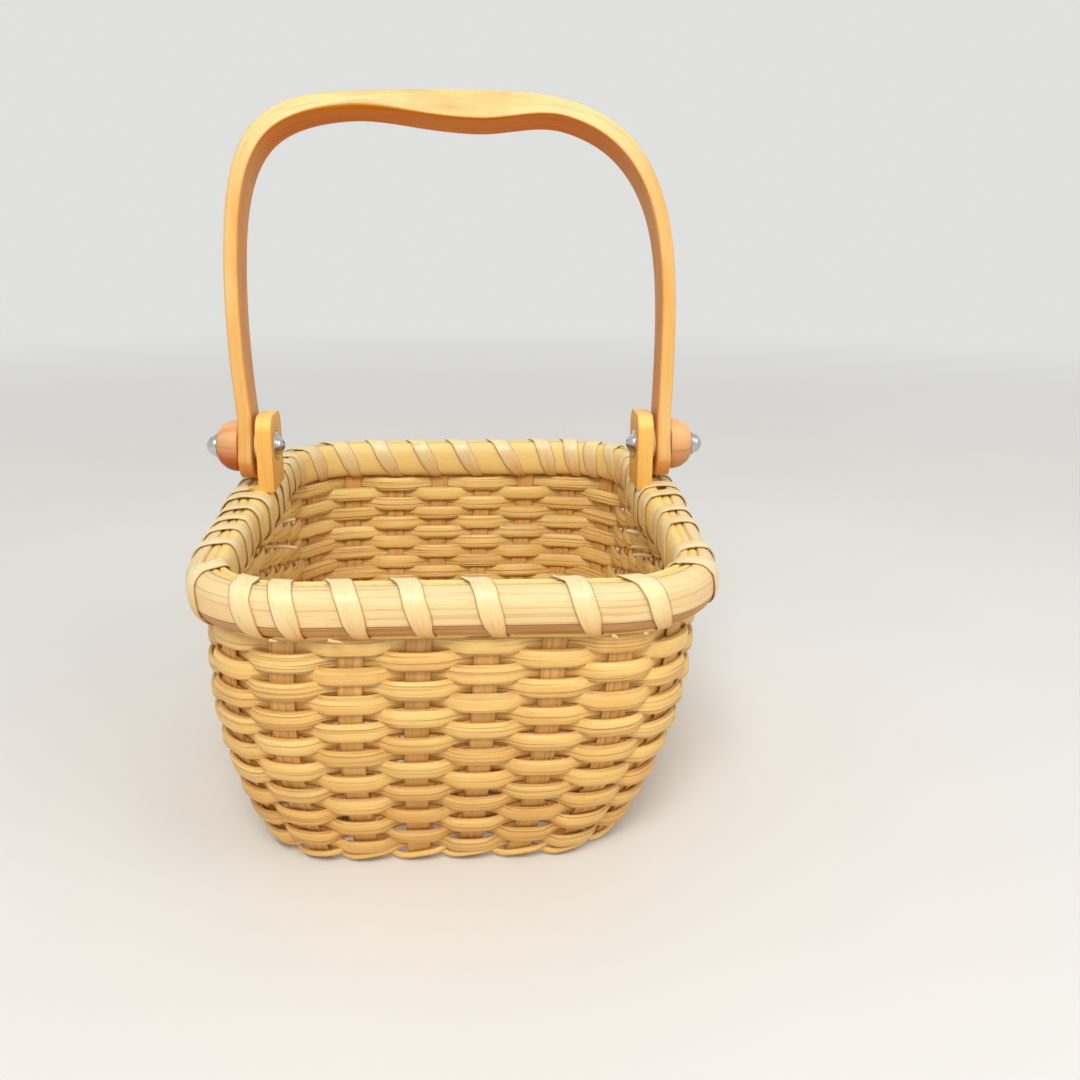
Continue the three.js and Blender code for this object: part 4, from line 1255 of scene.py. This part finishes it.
def stage_material(name, color):
    """A plain pale floor. Far from the basket the camera sees it fade into the pale background."""
    s = Shader(name)
    point = s.object_point()
    cloud = s.noise(s.stretched(point, (6, 6, 6)), detail=2)
    tint = s.mix(s.spread(cloud, 0.3, 0.7), linear(color), linear([v * 0.985 for v in color]))
    s.finish(tint, 0.85, None)
    tree = s.tree
    paper = next(node for node in tree.nodes if node.type == "BSDF_PRINCIPLED")
    output = next(node for node in tree.nodes if node.type == "OUTPUT_MATERIAL")
    reach = tree.nodes.new("ShaderNodeVectorMath")
    reach.operation = "LENGTH"
    tree.links.new(point, reach.inputs[0])
    glow = tree.nodes.new("ShaderNodeEmission")
    glow.inputs["Color"].default_value = linear(BACKGROUND)
    far = s.spread(reach.outputs["Value"], 0.35, 1.3)
    mix_shaders(tree, s.math("MULTIPLY", far, seen_directly(tree), clamp=True), paper, glow, output)
    return s.material


def mix_shaders(tree, share, first, second, output):
    """Sends a mix of two shaders to the output: none of the second where the share is 0."""
    blend = tree.nodes.new("ShaderNodeMixShader")
    for source, socket in zip((share, first.outputs[0], second.outputs[0]), blend.inputs):
        tree.links.new(source, socket)
    tree.links.new(blend.outputs[0], output.inputs["Surface"])


# Settings

def size_setting(name, description, default_mm):
    return bpy.props.FloatProperty(name=name, description=description, default=default_mm * MM, min=0.1 * MM,
                                   max=300 * MM, precision=5, unit="LENGTH", subtype="DISTANCE")


def color_setting(name, description, color):
    return bpy.props.FloatVectorProperty(name=name, description=description, default=color, size=3, min=0,
                                         max=1, subtype="COLOR_GAMMA")


def squareness_setting(side, default):
    return bpy.props.FloatProperty(name=f"{side.capitalize()} shoulder", default=default, min=2, max=8,
                                   description=f"Squareness of the {side} shoulder")


class BasketSettings(bpy.types.PropertyGroup):
    """Sizes and colours of the basket."""
    rows: bpy.props.IntProperty(name="Rows", description="Rows of weaving up the wall", default=17, min=3,
                                max=40)
    first_row_height: size_setting("First row", "Height of the lowest row's middle", 6.4)
    row_pitch: size_setting("Row pitch", "Height from one row to the next", 3.88)
    reed_width: size_setting("Reed width", "Width of the weaving reed", 5.1)
    reed_thickness: size_setting("Reed thickness", "Thickness of the weaving reed", 1.8)
    splint_width: size_setting("Splint width", "Width of the upright splints", 6.3)
    splint_thickness: size_setting("Splint thickness", "Thickness of the upright splints", 1.0)
    cane_width: size_setting("Cane width", "Width of the lashing cane", 5.8)
    cane_thickness: size_setting("Cane thickness", "Thickness of the lashing cane", 0.55)
    handle_height: size_setting("Handle height", "From the pivot to the top of the handle", 106.5)
    handle_width: size_setting("Handle width", "Width of the handle strap", 14.0)
    handle_lean: bpy.props.FloatProperty(name="Handle lean", description="How far it leans back at rest",
                                         default=math.radians(16), subtype="ANGLE")
    right_squareness: squareness_setting("right", 3.3)
    left_squareness: squareness_setting("left", 4.7)
    metal: color_setting("Metal", "Plated steel of the bolts, washers and nuts", (0.82, 0.83, 0.84))
    floor: color_setting("Floor", "Plain pale floor", (0.90, 0.90, 0.89))


def add_fibre_colors():
    """Adds a setting for each colour of each finish that has fibres or grain."""
    for thing, (label, *colors) in FIBRE_COLORS.items():
        for tone, color in zip(TONES, colors):
            setting = color_setting(f"{label}, {tone}", f"{label}: {tone} tone", color)
            BasketSettings.__annotations__[f"{thing}_{tone}"] = setting


# Operators

# Trimmed ends below the rim inside: name, upright number, height, length, and turn from straight in
LOOSE_ENDS = (
    ("right_low", 11.05, 66.4, 9.0, 52.0),
    ("right_lower", 10.9, 64.9, 8.0, 50.0),
    ("left_low", 27.45, 65.8, 10.5, -20.0),
)

# Loose fibres: upright number, height, distance out, how far each leans sideways and up, and length
LOOSE_FIBRES = (
    (17.1, 84.9, 2.0, 0.3, 1.0, 6.0),
    (16.7, 84.9, 2.5, 0.7, 0.6, 5.0),
    (19.2, 46.0, -2.2, 0.4, 0.8, 5.0),
    (2.3, 18.0, 2.4, 0.5, 0.9, 8.0),
    (1.8, 11.0, 2.2, -0.6, 0.5, 6.0),
    (26.2, 30.0, -2.2, 0.7, 0.5, 6.0),
)

# Pale chips under the outer strip: upright number and length
PALE_CHIPS = ((0.95, 2.0), (1.72, 3.6), (5.78, 1.6), (6.18, 1.8))

# Washers on the pivot line: where each starts and ends along it, radius and bore
BOLT_WASHER = (54.75, 55.98, 4.4, 2.2)
SPACER_WASHER = (60.0, 61.1, 4.8, 2.2)


class BasketOperator:
    """What the basket's operators share."""
    bl_options = {"REGISTER", "UNDO"}

    def execute(self, context):
        settings = context.scene.basket
        self.build(settings, basket_materials(settings))
        return {"FINISHED"}


class BASKET_OT_splints(BasketOperator, bpy.types.Operator):
    """Builds the splints that run up the walls and cross in the base"""
    bl_idname = "basket.splints"
    bl_label = "Splints"

    def build(self, settings, looks):
        for crosswise, count in ((False, STAKES_LONG), (True, STAKES_CROSS)):
            for i in range(count):
                node = f"stake_{'cross' if crosswise else 'long'}_{i + 1}"
                dress(splint(i, crosswise, settings), looks["splint"], "stake_splint", node)


class BASKET_OT_weavers(BasketOperator, bpy.types.Operator):
    """Builds the rows of reed and the two strands that twine round the foot"""
    bl_idname = "basket.weavers"
    bl_label = "Weavers"

    def build(self, settings, looks):
        for row in range(settings.rows):
            node = f"weaver_row_{row + 1:02d}"
            dress(weaver_row(row, settings), looks["reed"], "weaver_reed", node)
        for node, side, seed in (("foot_strand_lower", 1, 700), ("foot_strand_upper", -1, 701)):
            dress(foot_strand(side, seed), looks["foot_reed"], "weaver_reed", node)


class BASKET_OT_rim(BasketOperator, bpy.types.Operator):
    """Builds the two rim strips and the cord between them"""
    bl_idname = "basket.rim"
    bl_label = "Rim"

    def build(self, settings, looks):
        whole_way = (SEAM_SHARE, SEAM_SHARE + 1)
        profile = half_round_profile(OUTER_STRIP_IN - 0.1, OUTER_STRIP_OUT, 30)
        # The outer strip is painted paler towards its top as painted light from above, and its foot band is
        # partly darker wood and partly painted shade
        outer = hoop("rim_outer_strip", whole_way, profile, 360, 21, 0.1, shaded_stained_foot, painted_light_up=0.9)
        dress(outer, looks["rim_strip"], "rim_strip", "rim_outer")
        profile = half_round_profile(INNER_STRIP_OUT + 0.1, INNER_STRIP_IN, 16)
        inner = hoop("rim_inner_strip", whole_way, profile, 360, 22, 0.1)
        dress(inner, looks["inner_strip"], "rim_strip", "rim_inner")
        slot = EAR_SLOT_HALF / (4 * quarter_length(RIM_TOP))
        cord = flat_oval(0.73, 1.4, 83.0, 1.5, 12, 2.4)
        row = flat_oval(1.42, 0.5, 75.3, 5.2, 8, 4.0)
        for name, shares in (("front", (-0.25 + slot, 0.25 - slot)), ("back", (0.25 + slot, 0.75 - slot))):
            piece = hoop(f"rim_cord_{name}", shares, cord, 420, 25, 0.05, twist=1.1)
            dress(piece, looks["cord"], "filler_cord", f"rim_filler_{name}")
            piece = hoop(f"rim_top_row_{name}", shares, row, 200, 27, 0.0)
            dress(piece, looks["reed"], "weaver_reed", f"rim_row_{name}")


class BASKET_OT_lashing(BasketOperator, bpy.types.Operator):
    """Winds the cane over the rim, and adds the trimmed ends that show inside"""
    bl_idname = "basket.lashing"
    bl_label = "Lashing"

    def build(self, settings, looks):
        for name, passes, seed in (("front", FRONT_PASSES, 31), ("back", BACK_PASSES, 32)):
            piece = lashing(f"cane_lashing_{name}", passes, settings, seed)
            dress(piece, looks["cane"], "lashing_cane", f"lashing_{name}")
        for name, number, turn in (("right", 11, 35.0), ("left", 27, -35.0)):
            end = tuck_end(f"cane_end_{name}", number, RIM_BOTTOM - 0.95, 9.5, turn)
            dress(end, looks["cane"], "lashing_cane", f"lashing_tuck_{name}")
        for name, number, z, reach, turn in LOOSE_ENDS:
            end = tuck_end(f"cane_end_{name}", number, z, reach, turn, 1.5, 2.0)
            dress(end, looks["cane"], "lashing_cane")


class BASKET_OT_fibres(BasketOperator, bpy.types.Operator):
    """Adds the few loose fibres that stand off the reed and the rim"""
    bl_idname = "basket.fibres"
    bl_label = "Loose fibres"

    def build(self, settings, looks):
        hairs = []
        for seed, (number, z, out, sideways, upward, length) in enumerate(LOOSE_FIBRES):
            _, outward, _, around = wall_frame(upright_share(number), z)
            start = on_wall(upright_share(number), z, out)
            off = outward * math.copysign(0.5, out) + around * sideways + Vector((0, 0, upward))
            hairs.append(hair(start, off, length, 0.11, seed))
        dress(joined("loose_fibres", hairs), looks["foot_reed"], "weaver_reed")
        chips = []
        for seed, (number, length) in enumerate(PALE_CHIPS):
            _, _, _, around = wall_frame(upright_share(number), RIM_BOTTOM)
            start = on_wall(upright_share(number), RIM_BOTTOM + 0.1, OUTER_STRIP_OUT - 1.6)
            chips.append(hair(start, around + Vector((0, 0, -0.05)), length, 0.5, 40 + seed))
        dress(joined("pale_chips", chips), looks["cane"], "weaver_reed")


class BASKET_OT_ears(BasketOperator, bpy.types.Operator):
    """Builds the two wooden ears that carry the handle"""
    bl_idname = "basket.ears"
    bl_label = "Ears"

    def build(self, settings, looks):
        for name, side in (("right", 1), ("left", -1)):
            dress(ear(side, f"wooden_ear_{name}"), looks["ear_wood"], "ear_wood", f"ear_{name}")


class BASKET_OT_handle(BasketOperator, bpy.types.Operator):
    """Builds the bentwood handle"""
    bl_idname = "basket.handle"
    bl_label = "Handle"

    def build(self, settings, looks):
        dress(bentwood_handle(settings), looks["handle_wood"], "handle_wood", "handle", body="handle")


class BASKET_OT_hardware(BasketOperator, bpy.types.Operator):
    """Builds the beads, bolts, washers and cap nuts on the pivot line"""
    bl_idname = "basket.hardware"
    bl_label = "Beads and hardware"

    def build(self, settings, looks):
        metal = looks["bright_metal"]
        for name, side in (("right", 1), ("left", -1)):
            dress(bolt_with_head(side, f"screw_{name}"), metal, "hardware_steel", f"bolt_{name}")
            washer = ring_washer(f"washer_{name}", side, *BOLT_WASHER)
            dress(washer, metal, "hardware_steel", f"bolt_washer_{name}")
            spacer = ring_washer(f"spacer_{name}", side, *SPACER_WASHER)
            dress(spacer, looks["pale_wood"], "spacer_wood", f"spacer_washer_{name}")
            bead = turned_bead(side, f"turned_bead_{name}")
            dress(bead, looks["bead_wood"], "bead_wood", f"bead_{name}")
            dress(cap_nut(side, f"domed_nut_{name}"), metal, "hardware_steel", f"cap_nut_{name}")


class BASKET_OT_stage(BasketOperator, bpy.types.Operator):
    """Lays the floor, and sets the lamps, the world and the camera"""
    bl_idname = "basket.stage"
    bl_label = "Stage"

    def build(self, settings, looks):
        mesh = bpy.data.meshes.new("floor")
        corners = [(x, y, 0) for x, y in rectangle(FLOOR_REACH, -FLOOR_REACH, FLOOR_REACH)]
        mesh.from_pydata(corners, [], [(0, 1, 2, 3)])
        floor = placed("floor", mesh)
        floor.location.z = -FLOOR_DROP
        mesh.materials.append(stage_material("floor_paper", settings.floor))
        lamp("key_lamp", (-0.10, -0.93, 1.06), 0.5, 11.7, (1.0, 0.97, 0.92))
        lamp("fill_lamp", (0.9, -0.5, 0.7), 0.8, 2.7, (1.0, 1.0, 0.99))
        lamp("rear_lamp", (0.1, 0.7, 1.1), 0.8, 0.7, (1.0, 0.98, 0.95))
        soft_world(0.56)
        photo_camera()
        bpy.context.scene.view_settings.view_transform = "Standard"


def seen_directly(tree):
    """1 for rays from the camera and for those in reflections and glass, 0 for the rays that light things."""
    rays = tree.nodes.new("ShaderNodeLightPath")
    total = rays.outputs["Is Camera Ray"]
    for kind in ("Is Glossy Ray", "Is Transmission Ray"):
        both = tree.nodes.new("ShaderNodeMath")
        both.operation = "MAXIMUM"
        tree.links.new(total, both.inputs[0])
        tree.links.new(rays.outputs[kind], both.inputs[1])
        total = both.outputs[0]
    return total


def lamp(name, place, size, watts, color):
    """A square soft lamp that faces the basket."""
    data = bpy.data.lights.new(name, "AREA")
    data.shape = "SQUARE"
    data.size = size
    data.energy = watts
    data.color = color
    holder = placed(name, data)
    holder.location = place
    holder.rotation_euler = (Vector(LAMP_TARGET) - Vector(place)).to_track_quat("-Z", "Y").to_euler()


def soft_world(strength):
    """Even light from all round, and a pale background where the camera sees past the floor."""
    world = bpy.data.worlds.new("soft_room")
    bpy.context.scene.world = world
    world.use_nodes = True
    tree = world.node_tree
    tree.nodes.clear()
    light = tree.nodes.new("ShaderNodeBackground")
    light.inputs["Color"].default_value = (1.0, 0.98, 0.95, 1)
    light.inputs["Strength"].default_value = strength
    seen = tree.nodes.new("ShaderNodeBackground")
    seen.inputs["Color"].default_value = linear(BACKGROUND)
    output = tree.nodes.new("ShaderNodeOutputWorld")
    mix_shaders(tree, seen_directly(tree), light, seen, output)


def photo_camera():
    """The camera at the photograph's place: above the front, a little to the right."""
    data = bpy.data.cameras.new("photo_camera")
    data.sensor_width = CAMERA_SENSOR
    data.lens = CAMERA_LENS
    data.clip_start = 0.01
    camera = placed("photo_camera", data)
    camera.location = CAMERA_PLACE
    heading, dip = math.radians(CAMERA_HEADING), math.radians(CAMERA_DIP)
    look = Vector((math.sin(heading), math.cos(heading), -math.tan(dip)))
    camera.rotation_euler = look.to_track_quat("-Z", "Y").to_euler()
    camera.rotation_euler.rotate_axis("Z", math.radians(CAMERA_ROLL))
    bpy.context.scene.camera = camera


class BASKET_PT_panel(bpy.types.Panel):
    """Lists the steps that build the basket"""
    bl_idname = "BASKET_PT_panel"
    bl_label = "Basket"
    bl_space_type = "VIEW_3D"
    bl_region_type = "UI"
    bl_category = "Basket"

    def draw(self, context):
        for operator in OPERATORS:
            self.layout.operator(operator.bl_idname)
        for name in BasketSettings.__annotations__:
            self.layout.prop(context.scene.basket, name)


OPERATORS = (BASKET_OT_splints, BASKET_OT_weavers, BASKET_OT_rim, BASKET_OT_lashing, BASKET_OT_fibres,
             BASKET_OT_ears, BASKET_OT_handle, BASKET_OT_hardware, BASKET_OT_stage)
CLASSES = (BasketSettings,) + OPERATORS + (BASKET_PT_panel,)


def register():
    add_fibre_colors()
    for item in CLASSES:
        bpy.utils.register_class(item)
    bpy.types.Scene.basket = bpy.props.PointerProperty(type=BasketSettings)


def unregister():
    del bpy.types.Scene.basket
    for item in reversed(CLASSES):
        bpy.utils.unregister_class(item)


def main():
    register()
    bpy.ops.basket.splints()
    bpy.ops.basket.weavers()
    bpy.ops.basket.rim()
    bpy.ops.basket.lashing()
    bpy.ops.basket.fibres()
    bpy.ops.basket.ears()
    bpy.ops.basket.handle()
    bpy.ops.basket.hardware()
    bpy.ops.basket.stage()


if __name__ == "__main__":
    main()
